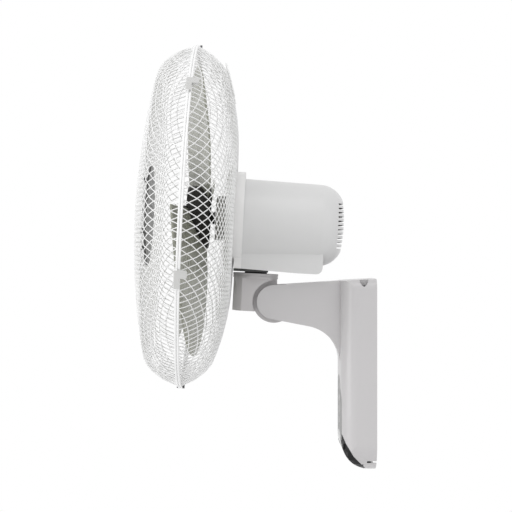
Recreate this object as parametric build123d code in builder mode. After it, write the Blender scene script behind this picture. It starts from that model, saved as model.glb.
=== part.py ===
from build123d import *
import os
from math import asin, atan2, cos, degrees, hypot, pi, radians, sin, sqrt

# Wall mounted fan with a swinging, tilting head on a column bracket.
# The origin lies on the wall, at the middle of the column. +Y points into the wall, +Z up, and the fan blows
# towards -Y. Everything above the tilt hinge is drawn in head measures: across (+X), back from the plane of
# the guard's rim, and up from the fan's axis. Millimetres throughout.

os.makedirs("parts", exist_ok=True)

# --- Column and arm -------------------------------------------------------------------------------
column_half_width = 47.0
column_depth = 44.3
column_top = 117.4
column_top_fall = 2.6
column_bottom = -121.0
column_top_corner = 13.0
column_bottom_corner = 35.0
column_front_corner = 20.0
column_foot_radius = 41.0
column_foot_flat = 0.2
shell_wall = 2.4
fit_gap = 0.3
back_plate_thick = 3.0
wall_hole_across = 30.0
wall_hole_up = 92.0
wall_hole_radius = 2.75
arm_half_width = 22.0
arm_nose_radius = 21.3
arm_root_round = 4.0
arm_root_drop = 62.0
arm_sweep_radius = 48.0
hinge_reach = 127.0
hinge_height = 88.0
hinge_bolt_radius = 4.0
running_gap = 0.05
ear_thick = 2.5
ear_radius = 14.0
washer_thick = 1.9
bolt_head_thick = 2.6
nut_thick = 3.0
hex_across = 13.0
screw_radius = 2.0
screw_head_radius = 3.8
recess_radius = 5.5
recess_floor_depth = 10.5
top_screw_across = 41.0
bottom_screw_across = 14.0
end_screw_reach = 16.0
lug_thick = 3.0
lug_width = 13.0
lug_reach = 23.0
base_screw_across = 20.2
base_screw_up = 26.0
slot_low = -110.8
slot_high = -108.2
slot_reach = 7.0
grommet_reach = 11.8
grommet_inner = 27.0
grommet_bore_radius = 0.7
grommet_inset = 3.0

# --- Control panel --------------------------------------------------------------------------------
panel_half_width = 34.0
panel_top = -4.0
panel_thick = 2.2
window_top = -73.0
window_radius = 60.0
button_radius = 5.0
button_gap = 0.35
button_pitch = 14.0
button_top = -19.0
button_count = 4
button_travel = 1.0
button_stem_radius = 2.0
board_reach = 8.0
board_thick = 1.6
board_half_width = 21.0
post_radius = 2.5

# --- Head: places ---------------------------------------------------------------------------------
rest_tilt = 3.0
fan_forward = 112.0
fan_rise = 101.6
swing_back = 87.6
swing_half = 40.0

# --- Neck -----------------------------------------------------------------------------------------
drum_radius = 26.2
drum_half_width = 12.0
drum_gap = 0.6
drum_cut_rise = 12.8
block_radius = 27.4
block_bottom = -114.4
flange_radius = 28.4
flange_bottom = -73.0
flange_top = -66.9
flange_groove = 0.8
swivel_washer_thick = 1.85
swivel_washer_radius = 14.0
post_low = -92.0
post_radius_low = 8.0
post_radius_high = 6.0
bush_radius = 11.0

# --- Guards ---------------------------------------------------------------------------------------
rim_radius = 215.0
rim_depth = 4.5
rim_width = 2.6
rim_gap = 0.15
wire_radius = 1.0
wire_half = 0.9
wire_pitch = 30.0
wire_count = 14
layer_step = 2.3
front_depth = 65.4
front_crown_radius = 820.0
rear_depth = 57.0
rear_flat_radius = 85.0
rear_crown_radius = 260.0
corner_start = 182.0
corner_power = 0.75
dish_outer = 72.0
dish_inner = 61.5
dish_plate = 1.5
badge_radius = 64.0
badge_back = -49.5
badge_thick = 2.5
lug_half_width = 5.5
rim_screw_radius = 2.0
clip_angles = (-20.6, 43.4, 136.6, 200.6)
clip_length = 22.0
clip_leg = 6.5
clip_bar = 9.5
clip_reach = 15.0
clip_thick = 2.5
clip_hook = 2.0
clip_hook_thick = 1.5
clip_pin_radius = 0.6
clip_ear_thick = 1.2
handle_low = rim_radius - 65.0
handle_high = rim_radius - 23.0
handle_corner = 14.0
handle_wire_radius = 1.2

# --- Fan blades and hub ---------------------------------------------------------------------------
hub_radius = 39.0
hub_front = -3.0
hub_back = 26.0
hub_wall = 2.5
hub_boss_radius = 8.0
hub_boss_back = 32.0
blade_count = 3
blade_first_angle = 84.0
blade_thick = 2.0
shaft_radius = 4.0
shaft_front = -13.0
blade_nut_radius = 14.0
blade_nut_front = -14.0

# --- Motor ----------------------------------------------------------------------------------------
cover_radius = 60.0
cover_front = 48.1
cover_foot_front = 59.5
cover_back = 68.8
cover_wall = 2.5
sleeve_radius = 17.0
sleeve_bore = 12.0
sleeve_front = 33.0
guard_nut_radius = 28.0
guard_nut_front = 33.6
housing_radius = 54.0
housing_axis_drop = 2.5
housing_taper = 2.5
housing_shoulder = 163.5
housing_back = 195.2
housing_wall = 2.2
housing_corner = 31.5
housing_bend = 66.0
belly_half_width = 36.0
belly_bottom_front = -61.6
belly_bottom_back = -64.0
belly_back = 170.0
belly_corner = 8.0
pad_back = 102.7
pad_bottom = -65.0
vent_pitch = 5.4
vent_height = 2.2
vent_reach = 42.0
vent_count = 11
vent_floor = 172.0
stator_radius = 41.0
stator_bore = 26.0
stator_front = 80.0
stator_back = 112.0
slot_count = 12
bell_radius = 43.0
bell_wall = 2.5
bell_length = 10.5
bearing_radius = 9.5
bearing_length = 6.0
winding_length = 6.5
motor_screw_ring = 38.5
motor_screw_radius = 1.2
cover_post_ring = 33.0
bracket_bottom = -59.2
bracket_thick = 2.0
bracket_half_width = 29.0
lever_length = 20.0
link_length = 56.0
link_thick = 2.0
layer_gap = 1.0
crank_thick = 2.0
crank_disc_radius = 16.5
crank_pin_radius = 2.0
anchor_slack = 4.7
timer_motor_radius = 18.0
timer_motor_height = 12.0
timer_shaft_radius = 2.5

# --- Worked out from the driving dimensions -----------------------------------------------------------
tilt = radians(rest_tilt)
across_dir = Vector(1, 0, 0)
back_dir = Vector(0, cos(tilt), -sin(tilt))
up_dir = Vector(0, sin(tilt), cos(tilt))
hinge_point = Vector(0, -hinge_reach, hinge_height)
fan_centre = hinge_point - back_dir * fan_forward + up_dir * fan_rise
ear_inner = drum_half_width + washer_thick + 2 * running_gap
crank_radius = lever_length * sin(radians(swing_half))
crank_across = lever_length * (1 + cos(radians(swing_half))) / 2 - crank_radius / 2
crank_back = swing_back + link_length
link_bottom = bracket_bottom + bracket_thick + layer_gap
crank_bottom = link_bottom + link_thick + layer_gap
timer_bottom = crank_bottom + crank_thick + layer_gap
dish_back = cover_front
leg_front = rim_gap + rim_width + 1.6
clip_pivot_front = leg_front - clip_thick / 2
front_upright = stator_front - bell_length
rear_upright = stator_back + bell_length
saved = []


def place(across, back, up):
    """A point of the head, from its head measures."""
    return fan_centre + across_dir * across + back_dir * back + up_dir * up


def side(across=0.0):
    """Plane seen from the side: x runs back, y runs up, z runs across."""
    return Plane(origin=place(across, 0, 0), x_dir=back_dir, z_dir=across_dir)


def face(back=0.0):
    """Plane square to the fan's axis: x runs across, y up, z to the front."""
    return Plane(origin=place(0, back, 0), x_dir=across_dir, z_dir=-back_dir)


def deck(up=0.0):
    """Plane square to the swing axis: x runs across, y back, z up."""
    return Plane(origin=place(0, 0, up), x_dir=across_dir, z_dir=up_dir)


def wall_side(across=0.0):
    """Upright plane square to the wall: x runs to the wall, y up, z across."""
    return Plane(origin=(across, 0, 0), x_dir=(0, 1, 0), z_dir=(1, 0, 0))


def save(builder, name):
    """Labels a finished piece and writes its STEP file."""
    builder.part.label = name
    export_step(builder.part, f"parts/{name}.step")
    saved.append(name)


fan_axis = Axis(origin=fan_centre, direction=back_dir)
body_axis = Axis(origin=place(0, 0, -housing_axis_drop), direction=back_dir)


# --- Column forms ---------------------------------------------------------------------------------
def column_block(inset):
    """The column's outer form, drawn in by inset on all sides but the wall's."""
    half = column_half_width - inset
    front = -(column_depth - inset)
    low = column_bottom + inset
    high = column_top - inset
    with BuildPart() as block:
        with BuildSketch(Plane.XY.offset(low)):
            with Locations((0, front / 2)):
                Rectangle(2 * half, -front)
            corners = vertices().group_by(Axis.Y)[0]
            fillet(corners, column_front_corner - inset)
        extrude(amount=high - low)
        with BuildSketch(wall_side()):
            with BuildLine():
                foot = column_foot_radius - inset
                foot_middle = foot * (1 - sqrt(0.5)) + column_foot_flat
                ThreePointArc((front + foot, low), (front + foot_middle, low + foot_middle), (front, low + foot))
                Polyline((front, low + foot), (front, high - column_top_fall), (0, high), (0, low), (front + foot, low))
            make_face()
        extrude(amount=column_half_width, both=True, mode=Mode.INTERSECT)
        with BuildSketch(Plane.XZ):
            with Locations((0, (low + high) / 2)):
                Rectangle(2 * half, high - low)
            fillet(vertices().group_by(Axis.Y)[-1], column_top_corner - inset)
            fillet(vertices().group_by(Axis.Y)[0], column_bottom_corner - inset)
        extrude(amount=column_depth, mode=Mode.INTERSECT)
    return block.part


def arm_block(inset, half_width):
    """The arm's outer form, drawn in by inset along its outline, with the sweep into the column under it."""
    root_y = -column_depth / 2
    front = -(column_depth - inset)
    root_top = column_top - column_top_fall / 2 - arm_root_round - inset
    sweep_low = root_top - arm_root_drop - arm_sweep_radius
    with BuildPart() as block:
        with BuildSketch(wall_side()):
            with Locations((-hinge_reach, hinge_height)):
                Circle(arm_nose_radius - inset)
            with Locations((root_y, root_top), (root_y, root_top - arm_root_drop + 2 * inset)):
                Circle(arm_root_round)
            make_hull()
            with Locations(((front + root_y) / 2, (root_top + sweep_low) / 2)):
                Rectangle(root_y - front, root_top - sweep_low)
            under = vertices().sort_by_distance((front, root_top - arm_root_drop))[0]
            fillet(under, arm_sweep_radius + inset)
        extrude(amount=half_width, both=True)
    return block.part


def hinge_cylinder(radius, low, high):
    """A round bar on the tilt axis between two places across."""
    with BuildPart() as bar:
        with BuildSketch(wall_side(low)):
            with Locations((-hinge_reach, hinge_height)):
                Circle(radius)
        extrude(amount=high - low)
    return bar.part


def upright_bar(across, reach, low, high, radius):
    """A round upright bar in the column."""
    with BuildPart() as bar:
        with BuildSketch(Plane.XY.offset(low)):
            with Locations((across, -reach)):
                Circle(radius)
        extrude(amount=high - low)
    return bar.part


def arch_region(half_width, top, radius, low):
    """Front view of the panel: straight sides under a round arch, as a bar through the column."""
    with BuildPart() as region:
        with BuildSketch(Plane.XZ):
            with Locations((0, top - radius)):
                Circle(radius)
            with Locations((0, (top - radius + low) / 2)):
                Rectangle(2 * radius, top - radius - low)
            with Locations((0, (top + low) / 2)):
                Rectangle(2 * half_width, top - low, mode=Mode.INTERSECT)
        extrude(amount=column_depth + 1)
    return region.part


end_screws = [(top_screw_across, 1), (-top_screw_across, 1)]
end_screws += [(bottom_screw_across, -1), (-bottom_screw_across, -1)]


def end_level(end, depth):
    """Height at a depth below the column's top or above its foot."""
    return column_top - depth if end > 0 else column_bottom + depth


def end_bar(across, end, shallow, deep, radius):
    """An upright bar that starts at one end of the column."""
    levels = sorted([end_level(end, shallow), end_level(end, deep)])
    return upright_bar(across, end_screw_reach, levels[0], levels[1], radius)


# --- Column and arm shells -------------------------------------------------------------------------
def cable_slot():
    """The flat slot through the column's foot along the wall, deeper in the flank where the cable leaves."""
    with BuildPart() as slot:
        with Locations((0, 1 - (slot_reach + 1) / 2, (slot_low + slot_high) / 2)):
            Box(2 * column_half_width, slot_reach + 1, slot_high - slot_low)
        with Locations(((grommet_inner + column_half_width) / 2, -grommet_reach / 2, (slot_low + slot_high) / 2)):
            Box(column_half_width - grommet_inner, grommet_reach, slot_high - slot_low)
    return slot.part


with BuildPart() as mount_shell:
    add(column_block(0))
    add(arm_block(0, arm_half_width))
    add(column_block(shell_wall), mode=Mode.SUBTRACT)
    add(arm_block(shell_wall, arm_half_width - shell_wall), mode=Mode.SUBTRACT)
    for across, end in end_screws:
        boss = end_bar(across, end, 0, recess_floor_depth + shell_wall, recess_radius + shell_wall)
        with BuildPart(mode=Mode.PRIVATE) as trimmed:
            add(boss)
            add(column_block(0), mode=Mode.INTERSECT)
        add(trimmed.part)
        add(end_bar(across, end, -1, recess_floor_depth, recess_radius), mode=Mode.SUBTRACT)
        add(end_bar(across, end, 0, recess_floor_depth + 3, screw_radius + fit_gap), mode=Mode.SUBTRACT)
    slot_half = drum_half_width + drum_gap
    add(hinge_cylinder(drum_radius + drum_gap, -slot_half, slot_half), mode=Mode.SUBTRACT)
    panel_low = column_bottom - 1
    cut = arch_region(panel_half_width + fit_gap, panel_top + fit_gap, panel_half_width + fit_gap, panel_low)
    with BuildPart(mode=Mode.PRIVATE) as panel_cut:
        add(cut)
        with BuildSketch(wall_side()):
            with Locations((-column_depth / 2 - end_screw_reach, (panel_top + panel_low) / 2)):
                Rectangle(column_depth, panel_top - panel_low + 4)
        extrude(amount=column_half_width, both=True, mode=Mode.INTERSECT)
    add(panel_cut.part, mode=Mode.SUBTRACT)
    add(cable_slot(), mode=Mode.SUBTRACT)

for name, keep in (("shell_left", Keep.TOP), ("shell_right", Keep.BOTTOM)):
    with BuildPart() as half_shell:
        add(mount_shell.part)
        split(bisect_by=Plane.YZ, keep=keep)
    save(half_shell, name)

# --- Back plate with the wall holes, and its end lugs ----------------------------------------------
plate_inset = shell_wall + fit_gap
base_height = 66.0
base_middle = hinge_height - 10.0
screw_columns = (-base_screw_across, base_screw_across)
screw_rows = (base_middle - base_screw_up, base_middle + base_screw_up)
base_screws = [(x, z) for x in screw_columns for z in screw_rows]
with BuildPart() as back_plate:
    add(column_block(plate_inset))
    with BuildSketch(wall_side()):
        with Locations((-back_plate_thick / 2, 0)):
            Rectangle(back_plate_thick, column_top - column_bottom)
    extrude(amount=column_half_width, both=True, mode=Mode.INTERSECT)
    with BuildPart(mode=Mode.PRIVATE) as lugs:
        for across, end in end_screws:
            lug_level = end_level(end, recess_floor_depth + shell_wall + lug_thick / 2)
            with Locations((across, -lug_reach / 2, lug_level)):
                Box(lug_width, lug_reach, lug_thick)
        add(column_block(plate_inset), mode=Mode.INTERSECT)
    add(lugs.part)
    for across, end in end_screws:
        tapped = end_bar(across, end, recess_floor_depth, recess_floor_depth + 9, screw_radius + running_gap)
        add(tapped, mode=Mode.SUBTRACT)
    with BuildSketch(Plane.XZ):
        with GridLocations(2 * wall_hole_across, 2 * wall_hole_up, 2, 2):
            Circle(wall_hole_radius)
        with Locations(*base_screws):
            Circle(screw_radius)
    extrude(amount=back_plate_thick, mode=Mode.SUBTRACT)
    with Locations((0, 0, (slot_high + column_bottom) / 2)):
        Box(2 * column_half_width, 2 * column_depth, slot_high - column_bottom, mode=Mode.SUBTRACT)
save(back_plate, "back_plate")

with BuildPart() as shell_screws:
    for across, end in end_screws:
        add(end_bar(across, end, recess_floor_depth - 2.4, recess_floor_depth, screw_head_radius))
        add(end_bar(across, end, recess_floor_depth - 0.1, recess_floor_depth + 8, screw_radius))
        slot_level = end_level(end, recess_floor_depth - 2.4)
        with Locations((across, -end_screw_reach, slot_level)):
            Box(4.5, 0.9, 2, mode=Mode.SUBTRACT)
            Box(0.9, 4.5, 2, mode=Mode.SUBTRACT)
save(shell_screws, "shell_screws")

# --- Steel arm bracket -----------------------------------------------------------------------------
with BuildPart() as arm_bracket:
    for sign in (1, -1):
        low = ear_inner if sign > 0 else -ear_inner - ear_thick
        with BuildSketch(wall_side(low)):
            with Locations((-hinge_reach, hinge_height)):
                Circle(ear_radius)
            with Locations((-back_plate_thick - ear_thick / 2, base_middle)):
                Rectangle(ear_thick, base_height * 0.8)
            make_hull()
        extrude(amount=ear_thick)
    with BuildSketch(Plane.XZ.offset(back_plate_thick)):
        with Locations((0, base_middle)):
            RectangleRounded(2 * (ear_inner + ear_thick) + 14, base_height, 4)
    extrude(amount=ear_thick)
    add(hinge_cylinder(hinge_bolt_radius + running_gap, -arm_half_width, arm_half_width), mode=Mode.SUBTRACT)
    with BuildSketch(Plane.XZ.offset(back_plate_thick)):
        with Locations(*base_screws):
            Circle(screw_radius)
    extrude(amount=ear_thick, mode=Mode.SUBTRACT)
save(arm_bracket, "arm_bracket")

with BuildPart() as bracket_screws:
    with BuildSketch(Plane.XZ.offset(0.5)):
        with Locations(*base_screws):
            Circle(screw_radius)
    extrude(amount=back_plate_thick + ear_thick)
    with BuildSketch(Plane.XZ.offset(back_plate_thick + ear_thick)):
        with Locations(*base_screws):
            Circle(1.6 * screw_radius)
            RegularPolygon(screw_radius * 0.7, 6, mode=Mode.SUBTRACT)
    extrude(amount=2)
save(bracket_screws, "bracket_screws")

# --- Tilt hinge: bolt, nut, friction washers ---------------------------------------------------------
ear_outer = ear_inner + ear_thick
with BuildPart() as hinge_bolt:
    add(hinge_cylinder(hinge_bolt_radius, -ear_outer - nut_thick, ear_outer + 0.5))
    with BuildSketch(wall_side(ear_outer)):
        with Locations((-hinge_reach, hinge_height)):
            RegularPolygon(hex_across / 2, 6, major_radius=False)
    extrude(amount=bolt_head_thick)
save(hinge_bolt, "hinge_bolt")

with BuildPart() as hinge_nut:
    with BuildSketch(wall_side(-ear_outer - nut_thick)):
        with Locations((-hinge_reach, hinge_height)):
            RegularPolygon(hex_across / 2, 6, major_radius=False)
            Circle(hinge_bolt_radius + running_gap, mode=Mode.SUBTRACT)
    extrude(amount=nut_thick)
save(hinge_nut, "hinge_nut")

with BuildPart() as friction_washers:
    for sign in (1, -1):
        low = drum_half_width + running_gap
        with BuildSketch(wall_side(low if sign > 0 else -low - washer_thick)):
            with Locations((-hinge_reach, hinge_height)):
                Circle(ear_radius)
                Circle(hinge_bolt_radius + running_gap, mode=Mode.SUBTRACT)
        extrude(amount=washer_thick)
save(friction_washers, "friction_washers")

# --- Control panel: bezel, window, buttons, board -----------------------------------------------------
button_heights = [button_top - n * button_pitch for n in range(button_count)]
board_front = -column_depth + board_reach
board_low = button_heights[-1] - 7
board_high = button_heights[0] + 5
board_posts = [(x, z) for x in (-board_half_width + 4, board_half_width - 4) for z in (board_low + 4, board_high - 4)]


def panel_skin(region):
    """The layer of the column's front that a region covers."""
    with BuildPart() as skin:
        add(column_block(0))
        add(column_block(panel_thick), mode=Mode.SUBTRACT)
        add(region, mode=Mode.INTERSECT)
        with BuildSketch(wall_side()):
            with Locations((-column_depth / 2 - end_screw_reach - fit_gap, 0)):
                Rectangle(column_depth, 2 * column_depth + column_top - column_bottom)
        extrude(amount=column_half_width, both=True, mode=Mode.INTERSECT)
    return skin.part


window_region = arch_region(panel_half_width, window_top, window_radius, column_bottom - 1)
window_hole = arch_region(panel_half_width + 1, window_top + fit_gap, window_radius + fit_gap, column_bottom - 1)
bezel_region = arch_region(panel_half_width, panel_top, panel_half_width, column_bottom - 1)

with BuildPart() as display_window:
    add(panel_skin(window_region))
save(display_window, "display_window")

with BuildPart() as control_bezel:
    add(panel_skin(bezel_region))
    add(window_hole, mode=Mode.SUBTRACT)
    with BuildSketch(Plane.XZ.offset(-board_front)):
        with Locations(*board_posts):
            Circle(post_radius)
    extrude(amount=board_reach - panel_thick + 0.1)
    with BuildSketch(Plane.XZ.offset(column_depth - panel_thick - 1)):
        with Locations(*[(0, z) for z in button_heights]):
            Circle(button_radius + button_gap)
    extrude(amount=panel_thick + 2, mode=Mode.SUBTRACT)
save(control_bezel, "control_bezel")

switch_top = board_reach - panel_thick - button_travel - 1.6
with BuildPart() as control_board:
    with BuildSketch(Plane.XZ.offset(-board_front - board_thick)):
        with Locations((0, (board_low + board_high) / 2)):
            Rectangle(2 * board_half_width, board_high - board_low)
    extrude(amount=board_thick)
    with BuildSketch(Plane.XZ.offset(-board_front)):
        with Locations(*[(0, z) for z in button_heights]):
            Rectangle(6, 6)
    extrude(amount=switch_top - 1)
save(control_board, "control_board")

for number, height in enumerate(button_heights, start=1):
    with BuildPart() as button:
        with BuildSketch(Plane.XZ.offset(column_depth - panel_thick)):
            with Locations((0, height)):
                Circle(button_radius)
        extrude(amount=panel_thick)
        dish_edge = edges().filter_by(GeomType.CIRCLE).sort_by(Axis.Y)[0]
        fillet(dish_edge, 0.5)
        with BuildSketch(Plane.XZ.offset(-board_front + switch_top + button_travel - 0.7)):
            with Locations((0, height)):
                Circle(button_stem_radius)
        extrude(until=Until.NEXT)
    save(button, f"button_{number}")

# --- Wiring end: terminal block and cable grommet -----------------------------------------------------
with BuildPart() as terminal_block:
    with BuildSketch(Plane.XZ.offset(back_plate_thick)):
        with Locations((0, -74)):
            Rectangle(34, 16)
    extrude(amount=14)
    with BuildSketch(Plane.XZ.offset(back_plate_thick + 8)):
        with Locations((0, -74)):
            with GridLocations(10, 1, 3, 1):
                Circle(2)
    extrude(amount=6, mode=Mode.SUBTRACT)
save(terminal_block, "terminal_block")

grommet_outer = column_half_width - column_bottom_corner
grommet_outer += sqrt(column_bottom_corner**2 - (column_bottom + column_bottom_corner - slot_high) ** 2)
with BuildPart() as cable_grommet:
    with BuildSketch(wall_side(grommet_inner + fit_gap)):
        with Locations((-(slot_reach + grommet_reach) / 2, (slot_low + slot_high) / 2)):
            Rectangle(grommet_reach - slot_reach - fit_gap, slot_high - slot_low - fit_gap / 2)
            Circle(grommet_bore_radius, mode=Mode.SUBTRACT)
    extrude(amount=grommet_outer - grommet_inner - grommet_inset)
save(cable_grommet, "cable_grommet")


# --- Neck -----------------------------------------------------------------------------------------------
def swing_bar(radius, low, high, across=0.0, back=0.0):
    """A round bar parallel to the swing axis, by default on it."""
    with BuildPart() as bar:
        with BuildSketch(deck(low)):
            with Locations((across, swing_back + back)):
                Circle(radius)
        extrude(amount=high - low)
    return bar.part


with BuildPart() as neck_casting:
    with BuildSketch(deck(block_bottom)):
        with Locations((0, swing_back)):
            Circle(block_radius)
            Rectangle(2 * arm_half_width, 2 * block_radius, mode=Mode.INTERSECT)
    extrude(amount=flange_bottom - block_bottom)
    low_edges = edges().group_by(Axis.Z)[0]
    fillet(low_edges, 2)
    for low, high in ((drum_half_width, 30), (-30, -drum_half_width)):
        add(hinge_cylinder(drum_radius + drum_gap, low, high), mode=Mode.SUBTRACT)
    with BuildPart(mode=Mode.PRIVATE) as drum:
        add(hinge_cylinder(drum_radius, -drum_half_width, drum_half_width))
        with BuildSketch(side()):
            with Locations((swing_back + block_radius + drum_radius, block_bottom + drum_radius + drum_cut_rise)):
                Rectangle(2 * drum_radius, 2 * drum_radius)
        extrude(amount=drum_half_width, both=True, mode=Mode.SUBTRACT)
    add(drum.part)
    add(swing_bar(flange_radius, flange_bottom, flange_top))
    groove_low = (flange_bottom + flange_top) / 2 - flange_groove
    with BuildSketch(deck(groove_low)):
        with Locations((0, swing_back)):
            Circle(flange_radius)
            Circle(flange_radius - flange_groove, mode=Mode.SUBTRACT)
    extrude(amount=flange_groove, mode=Mode.SUBTRACT)
    add(swing_bar(post_radius_low, post_low, flange_top), mode=Mode.SUBTRACT)
    add(hinge_cylinder(hinge_bolt_radius + running_gap, -30, 30), mode=Mode.SUBTRACT)
save(neck_casting, "neck_casting")

with BuildPart() as swivel_washer:
    add(swing_bar(swivel_washer_radius, flange_top, flange_top + swivel_washer_thick))
    add(swing_bar(post_radius_low, flange_top, flange_top + 3), mode=Mode.SUBTRACT)
save(swivel_washer, "swivel_washer")

bush_top = bracket_bottom + 0.8
with BuildPart() as swivel_post:
    add(swing_bar(post_radius_low, post_low, bush_top + running_gap))
    add(swing_bar(post_radius_high, bush_top, crank_bottom + crank_thick))
    with BuildSketch(deck(crank_bottom)):
        with Locations((0, swing_back)):
            Circle(post_radius_high)
        with Locations((lever_length, swing_back)):
            Circle(crank_pin_radius + 2)
        make_hull()
    extrude(amount=crank_thick)
    add(swing_bar(crank_pin_radius, link_bottom - 0.4, crank_bottom, lever_length))
save(swivel_post, "swivel_post")

with BuildPart() as post_circlip:
    add(swing_bar(bush_radius - 0.6, bush_top + running_gap, bush_top + 1))
    add(swing_bar(post_radius_high, bush_top, bush_top + 2), mode=Mode.SUBTRACT)
save(post_circlip, "post_circlip")

# --- Swing drive: bush, crank, link, timer motor -------------------------------------------------------
with BuildPart() as swivel_bush:
    add(swing_bar(bush_radius, pad_bottom, bush_top))
    add(swing_bar(post_radius_low + running_gap, pad_bottom, bush_top), mode=Mode.SUBTRACT)
save(swivel_bush, "swivel_bush")

pin_across = crank_across + crank_radius
with BuildPart() as crank_disc:
    add(swing_bar(crank_disc_radius, crank_bottom, crank_bottom + crank_thick, crank_across, link_length))
    add(swing_bar(crank_pin_radius, link_bottom - 0.4, crank_bottom, pin_across, link_length))
    bore = swing_bar(timer_shaft_radius + running_gap, crank_bottom, timer_bottom, crank_across, link_length)
    add(bore, mode=Mode.SUBTRACT)
save(crank_disc, "crank_disc")

with BuildPart() as link_rod:
    with BuildSketch(deck(link_bottom)):
        with Locations((pin_across, crank_back)):
            Circle(crank_pin_radius + 2.5)
        with Locations((pin_across, swing_back + link_length / 2)):
            Rectangle(5, link_length - crank_pin_radius - anchor_slack)
        with Locations((pin_across, swing_back)):
            Circle(crank_pin_radius + anchor_slack + 1.8)
        with Locations((pin_across, crank_back)):
            Circle(crank_pin_radius + running_gap, mode=Mode.SUBTRACT)
        with Locations((pin_across, swing_back)):
            Circle(crank_pin_radius + anchor_slack, mode=Mode.SUBTRACT)
    extrude(amount=link_thick)
save(link_rod, "link_rod")

timer_ear = -9.0
with BuildPart() as timer_motor:
    top = timer_bottom + timer_motor_height
    add(swing_bar(timer_motor_radius, timer_bottom, top, crank_across, link_length))
    add(swing_bar(timer_shaft_radius, crank_bottom, timer_bottom, crank_across, link_length))
    with BuildSketch(deck(timer_bottom)):
        with Locations((timer_ear + 8, crank_back)):
            Rectangle(24, 34)
    extrude(amount=2)
save(timer_motor, "timer_motor")

upright_thick = 2.5
plate_front = front_upright - upright_thick
plate_end = crank_back + 18
with BuildPart() as motor_bracket:
    with BuildSketch(deck(bracket_bottom)):
        with Locations((0, (plate_front + plate_end) / 2)):
            Rectangle(2 * bracket_half_width, plate_end - plate_front)
        with Locations((0, swing_back)):
            Circle(bush_radius, mode=Mode.SUBTRACT)
    extrude(amount=bracket_thick)
    for back, low, high in ((plate_front, -24, 0), (rear_upright, -28, -2)):
        with BuildSketch(deck(bracket_bottom)):
            with Locations(((low + high) / 2, back + upright_thick / 2)):
                Rectangle(high - low, upright_thick)
        extrude(amount=-bracket_bottom - stator_radius + 6)
    for back in (-14, 14):
        add(swing_bar(post_radius, bracket_bottom, timer_bottom, timer_ear, link_length + back))
save(motor_bracket, "motor_bracket")


# --- Motor ----------------------------------------------------------------------------------------------
def axle_ring(outer, inner, front, back):
    """A ring or disc on the fan's axis between two depths."""
    with BuildPart() as ring:
        with BuildSketch(face(back)):
            Circle(outer)
            if inner > 0:
                Circle(inner, mode=Mode.SUBTRACT)
        extrude(amount=back - front)
    return ring.part


def ring_bars(count, ring_radius, bar_radius, front, back, first=45.0):
    """Round bars parallel to the fan's axis, evenly round a ring."""
    with BuildPart() as bars:
        with BuildSketch(face(back)):
            with PolarLocations(ring_radius, count, start_angle=first):
                Circle(bar_radius)
        extrude(amount=back - front)
    return bars.part


with BuildPart() as stator_core:
    add(axle_ring(stator_radius, stator_bore, stator_front, stator_back))
    with BuildSketch(face(stator_back)):
        with PolarLocations((stator_bore + stator_radius - 5) / 2, slot_count):
            SlotOverall(stator_radius - stator_bore - 6, 4)
    extrude(amount=stator_back - stator_front, mode=Mode.SUBTRACT)
    add(ring_bars(4, motor_screw_ring, motor_screw_radius, stator_front, stator_back, 38), mode=Mode.SUBTRACT)
save(stator_core, "stator_core")

with BuildPart() as windings:
    for front in (stator_front - winding_length, stator_back):
        add(axle_ring(stator_radius - 5, stator_bore + 2, front, front + winding_length))
    soft = edges().filter_by(GeomType.CIRCLE)
    fillet(soft, 2)
save(windings, "windings")

for name, front, sign in (("front_bell", front_upright, 1), ("rear_bell", rear_upright, -1)):
    inner_end = front + sign * bell_length
    wall_end = front + sign * bell_wall
    boss_end = front + sign * (bearing_length + 0.5)
    with BuildPart() as bell:
        add(axle_ring(bell_radius, shaft_radius + 2, min(front, inner_end), max(front, inner_end)))
        inside = sorted([wall_end, inner_end + sign])
        add(axle_ring(bell_radius - bell_wall, bearing_radius + 2.5, *inside), mode=Mode.SUBTRACT)
        seat = sorted([boss_end, inner_end + sign])
        add(axle_ring(bearing_radius + 3, 0, *seat), mode=Mode.SUBTRACT)
        well = sorted([front + sign * 0.5, inner_end + sign])
        add(axle_ring(bearing_radius + running_gap, 0, *well), mode=Mode.SUBTRACT)
        with BuildSketch(face(max(front, wall_end))):
            with PolarLocations(25, 6, start_angle=30):
                Circle(5)
        extrude(amount=bell_wall, mode=Mode.SUBTRACT)
        plate_span = sorted([front, wall_end])
        add(ring_bars(4, motor_screw_ring, motor_screw_radius, *plate_span, 38), mode=Mode.SUBTRACT)
    save(bell, name)
    bearing_span = sorted([front + sign * 0.5, front + sign * (0.5 + bearing_length)])
    with BuildPart() as bearing:
        add(axle_ring(bearing_radius, shaft_radius + running_gap, *bearing_span))
    save(bearing, name.replace("bell", "bearing"))

with BuildPart() as motor_screws:
    add(ring_bars(4, motor_screw_ring, motor_screw_radius, front_upright, rear_upright, 38))
    add(ring_bars(4, motor_screw_ring, 1.8 * motor_screw_radius, front_upright - 1.6, front_upright, 38))
save(motor_screws, "motor_screws")

with BuildPart() as capacitor:
    with BuildSketch(face(rear_upright + 24)):
        with Locations((0, 24)):
            RectangleRounded(38, 17, 3)
    extrude(amount=24)
save(capacitor, "capacitor")

with BuildPart() as motor_shaft:
    add(axle_ring(shaft_radius, 0, shaft_front, rear_upright - 0.6))
save(motor_shaft, "motor_shaft")

with BuildPart() as rotor_core:
    add(axle_ring(stator_bore - 0.6, shaft_radius, stator_front - 1, stator_back + 1))
save(rotor_core, "rotor_core")

def cover_foot(inset, front, back):
    """The lower, flat-bottomed part of the front cover, drawn in by a wall."""
    low = belly_bottom_front + inset
    with BuildPart() as foot:
        with BuildSketch(deck(low)):
            with Locations((0, (front + back) / 2)):
                Rectangle(2 * (belly_half_width - inset), back - front)
        extrude(amount=-30 - low)
    return foot.part


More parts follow.
